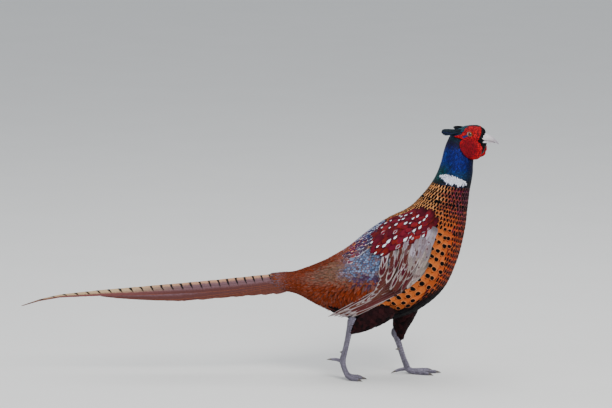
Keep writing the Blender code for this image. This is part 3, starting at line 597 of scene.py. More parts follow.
def seen_at(places, chart=body, share=1.6, swing=0.0):
    """Where the visible part of each feather shows in the side view."""
    at, step, _ = places
    return picture(chart(at + np.stack((step * share * np.cos(swing), 0 * step), -1)))


def mantle_colour(x, y):
    """Base colour of the neck's root, breast and flank, and the shares of breast and gold."""
    front = behind_front(x, y)
    breast = 1 - smooth(front, 4, 24)
    gold = smooth(line_at(GOLD_LINE, y) - x, -6, 8) * (1 - smooth(y, 211, 221))
    dark = 1 - smooth(y - line_at(COLLAR_LINE, x), -1.5, 1.5)
    base = layered(mixed("flank", "copper", breast),
                   "maroon", (1 - smooth(y, 196, 226)) * 0.85,
                   "purple", (1 - smooth(front, 2, 15)) * (1 - smooth(y, 200, 248)) * 0.85,
                   "gold", gold, "ink", dark * 0.9)
    return base, breast, gold


def fine_share(x, y):
    """1 where the breast's and mantle's small feathers lie, 0 on the flank."""
    return np.maximum(1 - smooth(behind_front(x, y), 9, 17), 1 - smooth(y, 219, 233))


def torso_paint(x, y, fine):
    """Mantle, breast or flank feathers with a dark spot near the tip, darkening to the belly."""
    count = len(x)
    stray = 3.2 * rng.standard_normal((2, count)) * (1 if fine else 0.6)
    base, breast, gold = mantle_colour(x + stray[0], y + stray[1] * smooth(y, 188, 196))
    under = 1 - smooth(line_at(BELLY_LINE, x) - y, -3, 5) * smooth(x, 350, 372)
    noise = rng.random((4, count))
    if fine:
        net = np.maximum(breast, (1 - gold) * (1 - smooth(y, 214, 236)))
        base = mixed(base, "flank", (1 - gold) * (noise[0] > 0.7) * 0.45 * smooth(y, 196, 214))
        edge = layered("flank_edge", PALETTE["purple"] * 0.4, net, "gold_pale", gold)
        size = (0.36 + 0.14 * noise[1] + 0.1 * gold, 0.18 + 0.07 * noise[2] + 0.04 * gold)
        colours = paint(count, base, edge, "black", mixed(base, "gold_pale", 0.2 + 0.45 * gold),
                        0.16 + 0.2 * net, size, 0.79 - 0.05 * gold, 0.85)
    else:
        edge = mixed("flank_edge", "purple", breast * 0.7)
        size = (0.46 + 0.16 * noise[1], 0.095 + 0.03 * noise[2])
        colours = paint(count, base, edge, "black", mixed(base, "gold_pale", 0.3), 0.13, size,
                        0.79 + 0.04 * noise[3], 0.82)
    for key, dark in (("base", "belly"), ("edge", "belly_purple"), ("ring", "belly")):
        colours[key] = mixed(colours[key], dark, under)
    return shaded(colours, 0.2)


# Sections from and to, feathers round the body, and whether they are the small ones.
TORSO_ROWS = ((11.3, 12.6, 38, True), (12.6, 13.9, 50, True), (13.9, 17.4, 62, True), (13.4, 19.3, 38, False))


def lay_torso():
    """Neck's root, breast, flanks and belly: one feather to each spot, small in front and above."""
    flank, breast = Coat(), Coat()
    for start, end, columns, fine in TORSO_ROWS:
        places = lattice(start, end, columns, 1.25)
        x, y = seen_at(places, winged_body)
        lies = ~inside(WING_COVER, x, y) & ~inside(SCAPULAR, x, y)
        lies &= (x > line_at(LEDGE, y) + 8) | (y > line_at(BELLY_LINE, x) - 2)
        small = fine_share(x, y) + (rng.random(len(x)) - 0.5) * 0.2 > 0.5
        lies &= small if fine else ~small
        colours = torso_paint(x[lies], y[lies], fine)
        lifts = (-1.8 * MM, 0.6 * MM) if fine else (-2.2 * MM, 0.9 * MM)
        laid_on_body(breast if fine else flank, picked(lies, *places), colours, lifts,
                     form=SMALL_FORM if fine else ROUND_FORM, chart=winged_body)
    return flank, breast


def neck_colour(x, y):
    """Blue, azure and green by place, darker in front and above the collar."""
    back, front = x - line_at(BACK_LINE, y), behind_front(x, y)
    return layered(np.broadcast_to(PALETTE["neck_blue"], (len(x), 3)),
                   "nape", (1 - smooth(y, 140, 156)) * (1 - smooth(back, 10, 22)),
                   "neck_azure", (1 - smooth(back, 0, 6)) * smooth(y, 146, 158) * 0.7,
                   "neck_teal", smooth(y, 160, 172) * (1 - smooth(back, 3, 16)) * 0.9,
                   "neck_teal", smooth(y, 168, 177) * 0.5,
                   "neck_dark", (1 - smooth(front, 0, 9)) * 0.75,
                   "ink", smooth(y, 178, 183) * 0.85)


def lay_neck():
    """Dark glossy neck above the collar and the white collar."""
    coat, white = Coat(), Coat()
    places = lattice(10.3, 11.9, 120, 1.3, 0.9)
    places = picked(inside(COLLAR_PATCH, *seen_at(places)), *places)
    colours = shaded(paint(len(places[0]), "collar", "collar_shade", border=0.35), 0.12)
    laid_on_body(white, places, colours, (-0.7 * MM, 1.6 * MM), overlap=3.2, fullness=1.15, sides=2,
                 form=STRAND_FORM, camber=0.3, ragged=0.9)
    places = lattice(6.9, 11.5, 54, 1.0)
    x, y = seen_at(places)
    jag = (rng.random((2, len(x))) - 0.5) * 0.9
    dark = ~inside(COLLAR_PATCH, x + jag[0], y - 1 + jag[1]) | ~inside(COLLAR_PATCH, x, y + 1)
    straight = straight_body(places[0])
    dark &= ~(inside(FACE_EDGE, straight[:, 0] / MM, straight[:, 2] / MM) & (np.abs(straight[:, 1]) > 4 * MM))
    base = neck_colour(x[dark], y[dark])
    base = base * (0.55 + 0.9 * rng.random(len(base)) ** 1.5)[:, None]
    colours = shaded(paint(len(base), base, mixed(base, "ink", 0.75), border=0.3), 0.25)
    laid_on_body(coat, picked(dark, *places), colours, (-1.3 * MM, 0.6 * MM), overlap=2.2, fullness=1.4,
                 sides=2, form=SMALL_FORM, camber=0.3)
    return coat, white


# Places of a few feathers just behind the eye.
EYE_PATCH = np.array([(u, a) for u in (4.5, 4.65, 4.8, 4.95, 5.1) for a in (1.17, 1.23)])


def lay_head():
    """Short feathers of the crown, nape, lores and throat, round the bare face."""
    coat = Coat()
    places = lattice(0.5, 7.3, 44, 0.9)
    sx, sy, sz = (straight_body(places[0]) / MM).T
    sy = np.abs(sy)
    keep = ~(inside(FACE_SEEN, sx, sz) & (sy > 3.4))
    keep &= ~((np.abs(sx - EYE[0]) < 6) & (np.abs(sz - EYE[2]) < 6) & (sy > 5))
    keep &= ~((sx > 373.5) & (sz > 407.5) & (sz < 417.5) & (sy > 3))
    places, sx, sz = picked(keep, *places), sx[keep], sz[keep]
    over = 1.7 * inside(FACE_EDGE, sx, sz)
    u, a = places[0].T
    chin = smooth(np.abs(a), 2.55, 2.9) * smooth(u, 2.4, 3.2) * (1 - smooth(u, 6.2, 7.2))
    count = len(u)
    base = layered(np.broadcast_to(PALETTE["crown"], (count, 3)),
                   "crown_teal", smooth(sz, 424, 432) * (1 - smooth(sx, 350, 366)) * 0.8,
                   "crown_blue", smooth(rng.random(count), 0.55, 1.0) * 0.5,
                   "forehead", smooth(sx, 362, 376),
                   "nape", (1 - smooth(sz, 408, 420)) * (1 - smooth(sx, 340, 352)))
    colours = shaded(paint(count, base, mixed(base, "ink", 0.4), border=0.25), 0.3)
    for key in ("base", "edge"):
        colours[key] = mixed(colours[key], "forehead", chin)
    laid_on_body(coat, places, colours, ((over - 0.5) * MM, (0.35 + 2.6 * chin + over) * MM),
                 overlap=2.4 + 1.2 * chin, fullness=1.5, sides=2, form=STRAND_FORM)
    count = len(EYE_PATCH)
    for _, sign in SIDES:
        base = mixed("crown_blue", "ink", 0.6 * rng.random(count))
        places = EYE_PATCH * (1, sign), np.full(count, 0.2), np.full(count, 0.09)
        laid_on_body(coat, places, paint(count, base), (1.3 * MM, 2.2 * MM), overlap=1.6, fullness=1.0,
                     sides=2, form=STRAND_FORM)
    return coat


def lay_scapulars():
    """Crimson feathers over the shoulder, about every second one with a pale drop edged in black."""
    coat = Coat()
    places = lattice(12.9, 18.2, 46, 1.22, 0.5)
    x, y = seen_at(places, winged_body, 1.5)
    lies = inside(SCAPULAR, x, y)
    places, x, y = picked(lies, *places), x[lies], y[lies]
    count = len(x)
    noise = rng.random((5, count))
    base = layered("crimson", "scarlet", noise[0] ** 2 * 0.7,
                   "rust", (noise[1] > 0.5) * smooth(y, 228, 244) * 0.6)
    edge = mixed(PALETTE["maroon"] * 0.55, "rust", (noise[2] > 0.6) * 0.5)
    marked = (np.flatnonzero(lies) % 2 == 0) & (noise[3] > 0.12) | (noise[3] > 0.95)
    near_top = smooth(below_back(x, y), 12, 3)
    big = np.where(marked, 0.45 + 0.7 * noise[4], 0.0) * (1 - 0.35 * near_top)
    hollow = (noise[2] > 0.86) & (y > 226)
    mark = np.where(hollow[:, None], PALETTE["maroon"], PALETTE["drop"])
    ring = np.where(hollow[:, None], PALETTE["pale"], PALETTE["black"])
    colours = paint(count, base, edge, mark, ring, 0.38, (0.25 * big, 0.21 * big), 0.75 + 0.05 * noise[1],
                    np.where(hollow, 0.7, 0.66), np.where(hollow, 0.35, 0.1))
    low = (-1.5 + 5.5 * smooth(np.abs(places[0][:, 1]), 0.35, 0.9) * smooth(x, 445, 425)) * MM
    laid_on_body(coat, places, shaded(colours, 0.4), (low, low + 3.0 * MM), overlap=2.6, fullness=1.4,
                 chart=winged_body, form=LONG_FORM)
    return coat


def rump_paint(x, y):
    """Flecked navy on the high back, blue grey below it, then violet, and rufous to the tail."""
    count = len(x)
    over = below_back(x, y)
    noise = rng.random((3, count))
    blur = rng.standard_normal((2, count))
    x, y, over = x + 2.5 * blur[0], y + 1.7 * blur[1], over + 2.0 * blur[1]
    patch = smooth(x, 336, 352) * (1 - smooth(y, 273, 280))
    blue, high = patch * smooth(over, 10, 19), patch * (1 - smooth(over, 9, 18))
    violet = smooth(x, 345, 358) * smooth(y, 274, 277) * (1 - smooth(y, 280, 283))
    rufous = smooth(y, 279, 287) + (1 - smooth(x, 296, 322)) * 0.7 + (1 - smooth(over, 3, 10)) * (1 - patch)
    covert = 1 - smooth(x, 284, 297)
    grey = layered("blue_grey", "slate", noise[1] ** 2, "mauve", (noise[2] > 0.72) * 0.6)
    base = layered(mixed("mauve", "moss", smooth(x, 306, 330) * (1 - smooth(y, 276, 288)) * noise[0]),
                   grey, blue,
                   mixed("navy", "maroon", noise[1] * smooth(x, 372, 345)), high,
                   "violet", violet * 0.9,
                   "rufous", np.clip(rufous, 0, 1) * (1 - violet),
                   "rufous_dark", smooth(y, 288, 304) * (0.35 + 0.65 * noise[2]),
                   mixed("covert_lilac", "covert_orange", noise[1] > 0.52), covert)
    hue = np.where((noise[1] > 0.5)[:, None], PALETTE["mauve"], PALETTE["rufous"])
    base = mixed(base, hue, 0.45 * noise[0] * (1 - blue) * (1 - high) * (1 - violet) * (1 - covert))
    fleck = mixed("pale_blue", "gold", smooth(noise[2] + 0.02 * (352 - x), 0.3, 0.7))
    edge = layered(base * 0.6, mixed(PALETTE["slate"] * 0.7, "mauve", noise[0]), blue, fleck, high)
    return shaded(paint(count, base, edge, border=0.14 + 0.2 * patch), 0.3)


def lay_rump():
    """Scalloped lower back, and the loose hair-like feathers behind it and at its sides."""
    scales, hair = Coat(), Coat()
    for columns, high in ((60, True), (96, False)):
        places = lattice(14.8, 20.6, columns, 1.1, 0.5)
        x, y = seen_at(places, winged_body)
        over = below_back(x, y) + 3 * (rng.random(len(x)) - 0.5)
        lies = (x < line_at(LEDGE, y) + 6) & (x > 330) & (y < 284) & ~inside(SCAPULAR, x - 3, y)
        lies &= (over < 17) == high
        laid_on_body(scales, picked(lies, *places), rump_paint(x[lies], y[lies]), (-1.6 * MM, 0.7 * MM),
                     overlap=2.4, fullness=1.45, swing=0.1, form=SMALL_FORM, sides=4 if high else 2,
                     camber=0.3, chart=winged_body)
    places = lattice(16.4, 21.9, 92, 1.0, 0.6)
    u, a = places[0][:, 0], np.abs(places[0][:, 1])
    swing = 0.1 + 1.2 * smooth(a, 0.9, 1.9) * (1 - smooth(u, 19.2, 21.0))
    x, y = seen_at(places, winged_body, 2.5, swing)
    lies = (x < line_at(LEDGE, y) + 8) & (y < line_at(BELLY_LINE, x) - 2)
    lies &= ((x < 343) | (y > 276)) & (a < 2.8)
    back = smooth(u[lies], 18.8, 21.2)
    laid_on_body(hair, picked(lies, *places), rump_paint(x[lies], y[lies]), (-2.2 * MM, 1.0 * MM),
                 overlap=5.0 + 9.0 * back, fullness=0.9 + 1.0 * back, swing=swing[lies], form=STRAND_FORM,
                 sides=2, camber=0.3, chart=winged_body, ragged=0.25 + 0.75 * back)
    return scales, hair


# The tail's ridge in mm, and how steep its two slopes are.
RIDGE = ((90, 187), (56, 182.5), (20, 179.5), (-19, 175.5), (-105, 166.5), (-191, 159),
         (-277, 151.5), (-346, 144), (-382, 135.5), (-413, 124.5))
ROOF = math.radians(56)

# The tail coverts: where they are measured from, their first place, end and spacing along and down the
# slope in metres, and their corner of the body's flat map.
COVERTS_FROM = 62 * MM
COVERTS_ALONG, COVERTS_DOWN = (0.008, 0.032, 0.0035), (0.001, 0.02, 0.0022)
COVERTS_MAP = (22, 0)


def straight_lie(count):
    """Steps for feathers that lie along a chart's first coordinate and across its second."""
    return np.tile((1.0, 0.0), (count, 1)), np.tile((0.0, 1.0), (count, 1))


def roof_chart(sign):
    """One slope of the tail: how far back from the rump, and how far down from the ridge."""
    ridge_x, ridge_z = (np.array(line) * MM for line in zip(*sorted(RIDGE)))

    def chart(c):
        x = COVERTS_FROM - c[..., 0]
        y = c[..., 1] * math.cos(ROOF) + 0.0006
        z = np.interp(x, ridge_x, ridge_z) - c[..., 1] * math.sin(ROOF) + 0.0005
        return np.stack((x, sign * y, z), -1)
    return chart


def lay_coverts():
    """Long coverts over the tail's root, streaked lilac and rufous."""
    coat = Coat()
    for _, sign in SIDES:
        at = np.array([(a, b) for a in np.arange(*COVERTS_ALONG) for b in np.arange(*COVERTS_DOWN)])
        count = len(at)
        noise = rng.random((4, count))
        at += (noise[:2].T - 0.5) * (0.006, 0.002)
        base = layered(mixed("covert_lilac", "covert_orange", noise[2] > 0.72), "tail_mauve", 0.6 * noise[3])
        colours = shaded(paint(count, base, mixed(base, "rufous", 0.4), border=0.25), 0.25)
        coat.lay(roof_chart(sign), at, *straight_lie(count), (13 + 11 * noise[3]) * MM, 1.7 * MM,
                 (0.0, 0.5 * MM), colours, form=STRAND_FORM, sides=2, camber=0.2, step=(0.001, 0.001),
                 side=sign, patch=at * (20, sign * 90) + COVERTS_MAP)
    return coat


# Rows down each thigh in mm: the middle, half depth and half width.
THIGHS = {
    "left": ((252, 25, 131, 26, 20), (247, 29, 104, 18.5, 15), (241.5, 31, 84.5, 13.5, 11),
             (240.5, 31.5, 70.5, 9, 8), (242, 31.5, 62.5, 5, 4.5)),
    "right": ((222, -26, 145, 30, 22), (203, -31, 122, 25, 19), (183, -34, 105, 18, 14),
              (167, -34.5, 92, 11, 9), (158, -34.5, 84.5, 5, 4.5)),
}
THIGH_STEP = (0.02, 0.02)
# Where each thigh's feathers lie on the body's flat map.
THIGH_MAP = {"left": (2, -1.6), "right": (14, 1.6)}


def limb_chart(rows):
    """A chart of a limb: the row along it and the angle round it."""
    table = np.array(rows, float)

    def chart(c):
        u = np.clip(c[..., 0], 0.05, len(table) - 1.05)
        ahead = curve_rows(table, u + 0.05) - curve_rows(table, u - 0.05)
        here = curve_rows(table, u) + ahead * 10 * (c[..., 0] - u)[..., None]
        here[..., 3:] = np.maximum(here[..., 3:], 1.5)
        along = unit(ahead[..., :3])
        across = unit(np.array((0.0, 1.0, 0.0)) - along * along[..., 1:2])
        up = np.cross(along, across)
        cos, sin = np.cos(c[..., 1])[..., None], np.sin(c[..., 1])[..., None]
        return (here[..., :3] + up * cos * here[..., 3:4] + across * sin * here[..., 4:5]) * MM
    return chart


def normal_side(chart, at):
    """1 or -1, so that the chart's normals point out of the limb."""
    here = at[:1]
    centre = chart(here) * 0.5 + chart(here + (0, math.pi)) * 0.5
    return 1 if np.dot((chart(here) - centre)[0], normals_at(chart, here, THIGH_STEP)[0]) > 0 else -1


def lay_thighs():
    coat, round_it = Coat(), 15
    for side, rows in THIGHS.items():
        chart = limb_chart(rows)
        at = np.array([(u, (k + 0.5 * (r % 2)) * math.tau / round_it)
                       for r, u in enumerate(np.arange(0.0, 3.85, 0.24)) for k in range(round_it)])
        at += (rng.random(at.shape) - 0.5) * (0.08, 0.15)
        first, second = metric(chart, at, THIGH_STEP)
        along, across = (row / rate[:, None] for row, rate in zip(straight_lie(len(at)), (first, second)))
        base = mixed("belly", "thigh", rng.random(len(at)))
        colours = shaded(paint(len(at), base, base * 1.6, border=0.12), 0.3)
        coat.lay(chart, at, along, across, np.minimum(16 * MM, 0.62 * first),
                 1.5 * second * math.tau / (2 * round_it), (-1.5 * MM, 0.8 * MM), colours,
                 step=THIGH_STEP, side=normal_side(chart, at), patch=at * (1.5, 0.5) + THIGH_MAP[side])
    return coat


class WingBed:
    """How far out the folded wing's bed lies at a side-view place, read from a smoothed grid."""

    def __init__(self):
        self.low, self.step, self.shape = np.array((0.08, 0.08)), 0.0025, (108, 84)
        rows, columns = 160, 120
        sections, angles = np.linspace(11, 23, rows), np.linspace(0.02, math.pi - 0.02, columns)
        u, a = np.meshgrid(sections, angles, indexing="ij")
        points = straight_body(np.stack((u, a), -1)).reshape(-1, 3).tolist()
        faces = [(i * columns + j, i * columns + j + 1, (i + 1) * columns + j + 1, (i + 1) * columns + j)
                 for i in range(rows - 1) for j in range(columns - 1)]
        tree = BVHTree.FromPolygons(points, faces)
        grid = np.zeros(self.shape)
        long, high = self.shape
        for i, j in np.ndindex(self.shape):
            x, z = self.low + (i * self.step, j * self.step)
            hit = tree.ray_cast(Vector((x, 0.3, z)), Vector((0, -1, 0)))[0]
            y = hit.y if hit else 0.0
            grid[i, j] = y + float(shield_rise(np.array((x, y, z))))
        for _ in range(3):
            padded = np.pad(grid, 1, mode="edge")
            grid = sum(padded[i:i + long, j:j + high] for i in range(3) for j in range(3)) / 9
        self.grid = grid

    def chart(self, side):
        def place(c):
            g = np.clip((c - self.low) / self.step, 0, np.array(self.shape) - 1.001)
            whole = g.astype(int)
            (i, j), (s, t) = np.moveaxis(whole, -1, 0), np.moveaxis(g - whole, -1, 0)
            y = (self.grid[i, j] * (1 - s) * (1 - t) + self.grid[i + 1, j] * s * (1 - t)
                 + self.grid[i, j + 1] * (1 - s) * t + self.grid[i + 1, j + 1] * s * t)
            return np.stack((c[..., 0], side * y, c[..., 1]), -1)
        return place


def wing_place(x, y):
    """The wing chart's place of a pixel of the side view."""
    return np.stack(((x - VIEW_X) * PIXEL * MM, ((VIEW_Y - y) * PIXEL / math.cos(TILT) + WING_RISE) * MM), -1)


def wing_row(coat, bed, side, count, roots, tips, half, lifts, colours, bend=0.0, wander=1.8, part=(0, 1)):
    """A row of wing feathers whose roots and tips are spread evenly along two lines of pixels."""
    def spread(line):
        line = np.array(line, float)
        walk = np.concatenate(([0], np.cumsum(np.linalg.norm(np.diff(line, axis=0), axis=1))))
        spots = np.linspace(part[0] * walk[-1], part[1] * walk[-1], count)
        return np.stack([np.interp(spots, walk, line[:, i]) for i in (0, 1)], -1)
    a, b = spread(roots), spread(tips)
    b = b + (rng.random(b.shape) - 0.5) * wander
    root = wing_place(*a.T)
    run = wing_place(*b.T) - root
    length = np.linalg.norm(run, axis=1)
    along = run / length[:, None]
    across = np.stack((along[:, 1], -along[:, 0]), -1)
    across *= np.sign(-across[:, 1:2])
    layer = np.linspace(0, 1, count) * 0.5 * MM
    lifts = [lift * MM + layer for lift in lifts]
    half = half * (0.85 + 0.3 * rng.random(count)) * MM
    coat.lay(bed.chart(side), root, along, across, length, half, lifts, colours(b), form=LONG_FORM,
             side=side, step=(0.002, 0.002), bend=bend)


def covert_paint(spots):
    """Grey in front, wine with pale edges behind."""
    count = len(spots)
    noise = rng.random((5, count))
    x, y = spots[:, 0] + (noise[0] - 0.5) * 9, spots[:, 1]
    wine = smooth(x, 411, 403)
    back, rear = wine > 0.5, (wine > 0.5)[:, None]
    lilac = np.clip(smooth(y, 272, 246) + noise[1] - 0.5, 0, 1) * 0.5
    grey = layered("grey_buff", "lilac", lilac, "brown", 0.5 * noise[3] ** 3)
    base = mixed(grey, mixed("wine", "brown", noise[2] * 0.7), wine)
    pale = mixed("pale", "grey_buff", noise[3])
    mark = np.where(rear, base, mixed(mixed("quill", "wine", 0.5), grey, 0.75 * noise[2]))
    size = (np.where(back, 0.42 + 0.32 * noise[4], 0.5 * (noise[4] > 0.5)),
            np.where(back, 0.22 + 0.16 * noise[0], 0.05 + 0.09 * noise[0]))
    colours = paint(count, np.where(rear, pale, base), np.where(rear, pale * 1.05, grey * 1.1), mark,
                    mixed(pale, mark, np.where(back, 0.5, 0.3)), 0.3, size,
                    np.where(back, 0.55 + 0.2 * noise[2], 0.75), 0.85)
    return shaded(colours, 0.3)


def quill_paint(spots):
    noise = rng.random((3, len(spots)))
    base = mixed("brown", "wine", noise[0] * 0.8)
    edge = mixed("quill_edge", "grey_buff", noise[1] * 0.7)
    return shaded(paint(len(spots), base, edge, border=0.2 + 0.13 * noise[2]), 0.18)


# Rows of the folded wing: feathers, root and tip lines in pixels, half width and lifts in mm, and bend.
QUILL_ROWS = (
    (8, ((403, 288), (396, 281)), ((350, 316), (339, 317.6), (327, 316)), 4.6, (0.5, 1.6), 0.03),
    (12, ((410, 286), (404, 274), (394, 262)),
     ((348, 313), (336, 310.5), (350, 305.5), (361, 300.5), (369, 294), (375, 286), (379, 279)), 4.6,
     (1.2, 3.0), 0.05),
)
COVERT_ROWS = (
    (11, ((424, 270), (404, 262), (386, 257)),
     ((407, 288), (399, 291), (390, 289), (384, 284), (381, 276)), 3.7, (2.6, 4.2)),
    (13, ((428, 262), (408, 252), (386, 248)),
     ((414, 281), (404, 281), (394, 278), (383, 268)), 3.3, (3.2, 4.7)),
    (14, ((429, 254), (410, 246), (387, 244)),
     ((418, 273), (407, 272), (395, 270), (384, 263)), 3.1, (3.6, 5.1)),
    (14, ((430, 248), (411, 241), (388, 242)),
     ((421, 266), (409, 265), (397, 263), (386, 257)), 3.1, (4.0, 5.5)),
    (13, ((431, 243), (420, 238), (400, 238)), ((424, 259), (413, 258), (399, 256)), 3.0, (4.3, 5.8)),
    (12, ((433, 238), (424, 233), (406, 234)), ((427, 253), (417, 252), (403, 251)), 3.0, (4.5, 6.1)),
    (11, ((434, 233), (426, 228), (411, 230)), ((429, 247), (420, 246), (408, 247)), 3.0, (4.6, 6.3)),
    (9, ((436, 229), (430, 225), (416, 227)), ((431, 241), (424, 240), (412, 242)), 3.0, (4.7, 6.4)),
)


def lay_wing(side, bed):
    """Quills first, then the coverts: broad ones at the rear of each row, narrow ones in front."""
    coat = Coat()
    for count, roots, tips, half, lifts, bend in QUILL_ROWS:
        wing_row(coat, bed, side, count, roots, tips, half, lifts, quill_paint, bend)
    for count, roots, tips, half, lifts in COVERT_ROWS:
        for share, broad, part in ((3, 1.5, (0.5, 1)), (7, 1, (0, 0.54))):
            wing_row(coat, bed, side, count * share // 10, roots, tips, half * broad, lifts, covert_paint,
                     wander=4.0, part=part)
    return coat


# The tail in mm: its root, each pair's tip, the middle pair's width along it, and a side vane's width.
TAIL_ROOT = 64
TAIL_TIPS = (-413, -277, -262, -205, -155, -108, -68, -32, 0)
CENTRAL_WIDTHS = ((64, 19), (-60, 23), (-150, 20), (-277, 11), (-346, 6), (-413, 1.2))
SIDE_WIDTH = 24
# The numbers of the logarithm that spaces the tail's bars, wider towards the tip.
BAR_NEAR, BAR_GROWTH, BAR_COUNT, BAR_START = 8.293, 10.024, 58.0, 134.98


def tail_material():
    """Buff ridge, mauve vanes darkening to purple down the slope, partly painted shade, and rufous fringes,
    with slanting dark bars set closer towards the root.
    """
    look = Look("tail_vane", 0.68, Specular_IOR_Level=0.15)
    across, x, central = look.parts("place")
    rough = look.noise(350) - 0.5
    loose = across + rough * 0.5
    wide = abs(across)
    swing = rough * 0.22 + across * -0.24
    count = (BAR_NEAR - x * BAR_GROWTH).math("LOGARITHM", math.e) * BAR_COUNT
    phase = (BAR_START - count + swing).math("FRACT")
    off = abs(phase - 0.5) + look.eased(across, -0.9, 0.6, 0.0, 0.06)
    # Down each vane's slope the bars fade, and the vane, its tip and the lower feathers darken to tail_purple
    # and tail_dusk: the purple fringe's own colour, with painted shade over the lower part of the slope.
    bars = look.eased(off, 0.08, 0.15, 1.0, 0.0) * look.eased(loose, -0.05, 0.5, 1.0, 0.05)
    bars = bars * (central * 0.7 + 0.3)
    vane = look.blend(look.eased(loose, -0.75, -0.3), "tail_ridge", "tail_mauve")
    vane = look.blend(look.eased(loose, 0.1, 0.7), vane, "tail_purple")
    tip = look.blend(look.eased(loose, -0.1, 0.5), "tail_buff", "tail_dusk")
    tip = look.blend(look.eased(x, -0.4, -0.345, 0.8, 0.0), tip, "tail_purple")
    vane = look.blend(look.eased(x, -0.27, -0.12, 1.0, 0.0), vane, tip)
    under = look.blend(look.eased(loose, 0.0, 0.6), "tail_mauve", "tail_purple")
    vane = look.blend(central, under, vane)
    vane = look.blend(look.eased(across + rough * 0.15, 0.9, 1.0) * 0.5, vane, "tail_rufous")
    colour = look.blend(look.eased(wide, 0.02, 0.05, 0.55, 0.0), look.blend(bars, vane, "bar"), "quill")
    strand = look.node("ShaderNodeCombineXYZ", {0: across * 3.0, 1: (x - wide * 0.012) * 900.0})
    lines = look.noise(1.0, 4.0, strand)
    return look.finish(colour, lines * 1.0 + 0.5, lines, 0.6, 0.0005)


def tail_ring(pair, sign, t, x, sides):
    """One row across a vane: its points, upper ones first, each with its place across."""
    slope = np.array((0, sign * math.cos(ROOF), -math.sin(ROOF)))
    out = np.array((0, sign * math.sin(ROOF), math.cos(ROOF)))
    if pair == 0:
        width, shift, close = line_at(CENTRAL_WIDTHS, x), 0.6, 1.0
    else:
        width = SIDE_WIDTH * (0.75 + 0.25 * min(t * 3, 1)) * (1 - 0.9 * max(t - 0.6, 0) ** 1.2 / 0.333)
        shift = 0.2 + 2.2 * min(pair, 2) + 0.2 * pair + 8 * t * (2 * t if t < 0.5 else 1)
        close = math.sqrt(min((1 - t) * 22, 1))
    frayed = 1 + 0.07 * (rng.random() - 0.5)
    middle = np.array((x, 0, line_at(RIDGE, x))) + slope * (shift + width / 2) - out * 1.3 * pair
    rows = [(s, 0.05 * width * (1 - s * s) - 0.3 * (abs(s) > 0.99)) for s in np.linspace(-1, 1, sides + 1)]
    return [(middle + slope * s * width / 2 * close * frayed + out * rise, s)
            for s, rise in (*rows, (-1, -0.55), (1, -0.55))]


def make_tail(material):
    """Eighteen graduated feathers in pairs on two slopes, each pair under the one before."""
    points, faces, place, flat = [], [], [], []
    sides = 8
    stride, under = sides + 3, sides + 1
    for pair, end in enumerate(TAIL_TIPS):
        for _, sign in SIDES:
            steps = max(int((TAIL_ROOT - end) / 5), 10)
            start = len(points)
            for i in range(steps + 1):
                t = i / steps
                x = TAIL_ROOT + (end - TAIL_ROOT) * t
                for spot, s in tail_ring(pair, sign, t, x, sides):
                    points.append(spot * MM)
                    place.append((s, x * MM, float(pair == 0)))
                    flat.append(((x + 420) / 500, (pair * 2 + (sign > 0) + 0.5 + 0.42 * s) / 18))
            for a in range(start, start + steps * stride, stride):
                b = a + stride
                faces += [(a + k, a + k + 1, b + k + 1, b + k) for k in range(sides)]
                faces += [(a + under, b + under, b + under + 1, a + under + 1), (a, b, b + under, a + under),
                          (a + sides, a + under + 1, b + under + 1, b + sides)]
            for a in (start, start + steps * stride):
                faces.append((*range(a, a + under), a + under + 1, a + under))
    mesh = make_mesh("tail_vanes", points, faces, material, flat=flat, place=place)
    mesh.set_sharp_from_angle(angle=math.radians(40))
    put("tail_vanes", mesh, "tail", "tail")


# Each ear tuft in mm: its root, and the first and last tip of its fan.
EAR_TUFTS = (((343, -7, 427), (311, -14, 431), (315.5, -12, 419.6)),
             ((344, 7, 429.5), (327, 12, 433), (329, 14, 428.5)))


def tuft_chart(starts, tips, sign):
    """Along and across each of a tuft's feathers, which arch outwards from their roots."""
    along = unit(tips - starts)
    outward = np.array((0.0, sign, 0.25))
    across = unit(np.cross(along, outward))

    def chart(c):
        which = np.arange(len(starts)).reshape(-1, *([1] * (c.ndim - 2)))
        spot = starts[which] + along[which] * c[..., 0:1] + across[which] * c[..., 1:2]
        arch = 0.0016 * np.sin(np.clip(c[..., 0:1] / 0.034, 0, 1) * math.pi)
        return turned(spot + outward * arch)
    return chart


def lay_tufts():
    """The two ear tufts, of many narrow feathers that fan a little to blunt ends."""
    coat, count = Coat(), 90
    for root, first, last in np.array(EAR_TUFTS) * MM:
        fan, layer = rng.random(count), rng.random(count) - 0.5
        sign = np.sign(root[1])
        tips = first + (last - first) * fan[:, None]
        blunt = 0.12 * np.sin(fan * math.pi)[:, None]
        tips = root + (tips - root) * (0.84 + 0.1 * rng.random((count, 1)) + blunt)
        tips[:, 1] += layer * 0.006
        starts = root + (rng.random((count, 3)) - 0.5) * (0.010, 0.004, 0.007)
        starts[:, 0] += 0.002
        base = mixed(PALETTE["crown_blue"] * 0.5, PALETTE["crown_teal"] * 0.7, rng.random(count))
        base = mixed(base, "ink", rng.random(count) * 0.7)
        colours = shaded(paint(count, base, mixed(base, "ink", 0.6), border=0.2), 0.3)
        coat.lay(tuft_chart(starts, tips, sign), np.zeros((count, 2)), *straight_lie(count),
                 np.linalg.norm(tips - starts, axis=1), 2.0 * MM, (0.0, 0.3 * MM), colours, sides=2,
                 step=(0.0005, 0.0005), side=int(sign), patch=np.stack((5 + fan, layer * 2 + sign * 2), -1))
    return coat


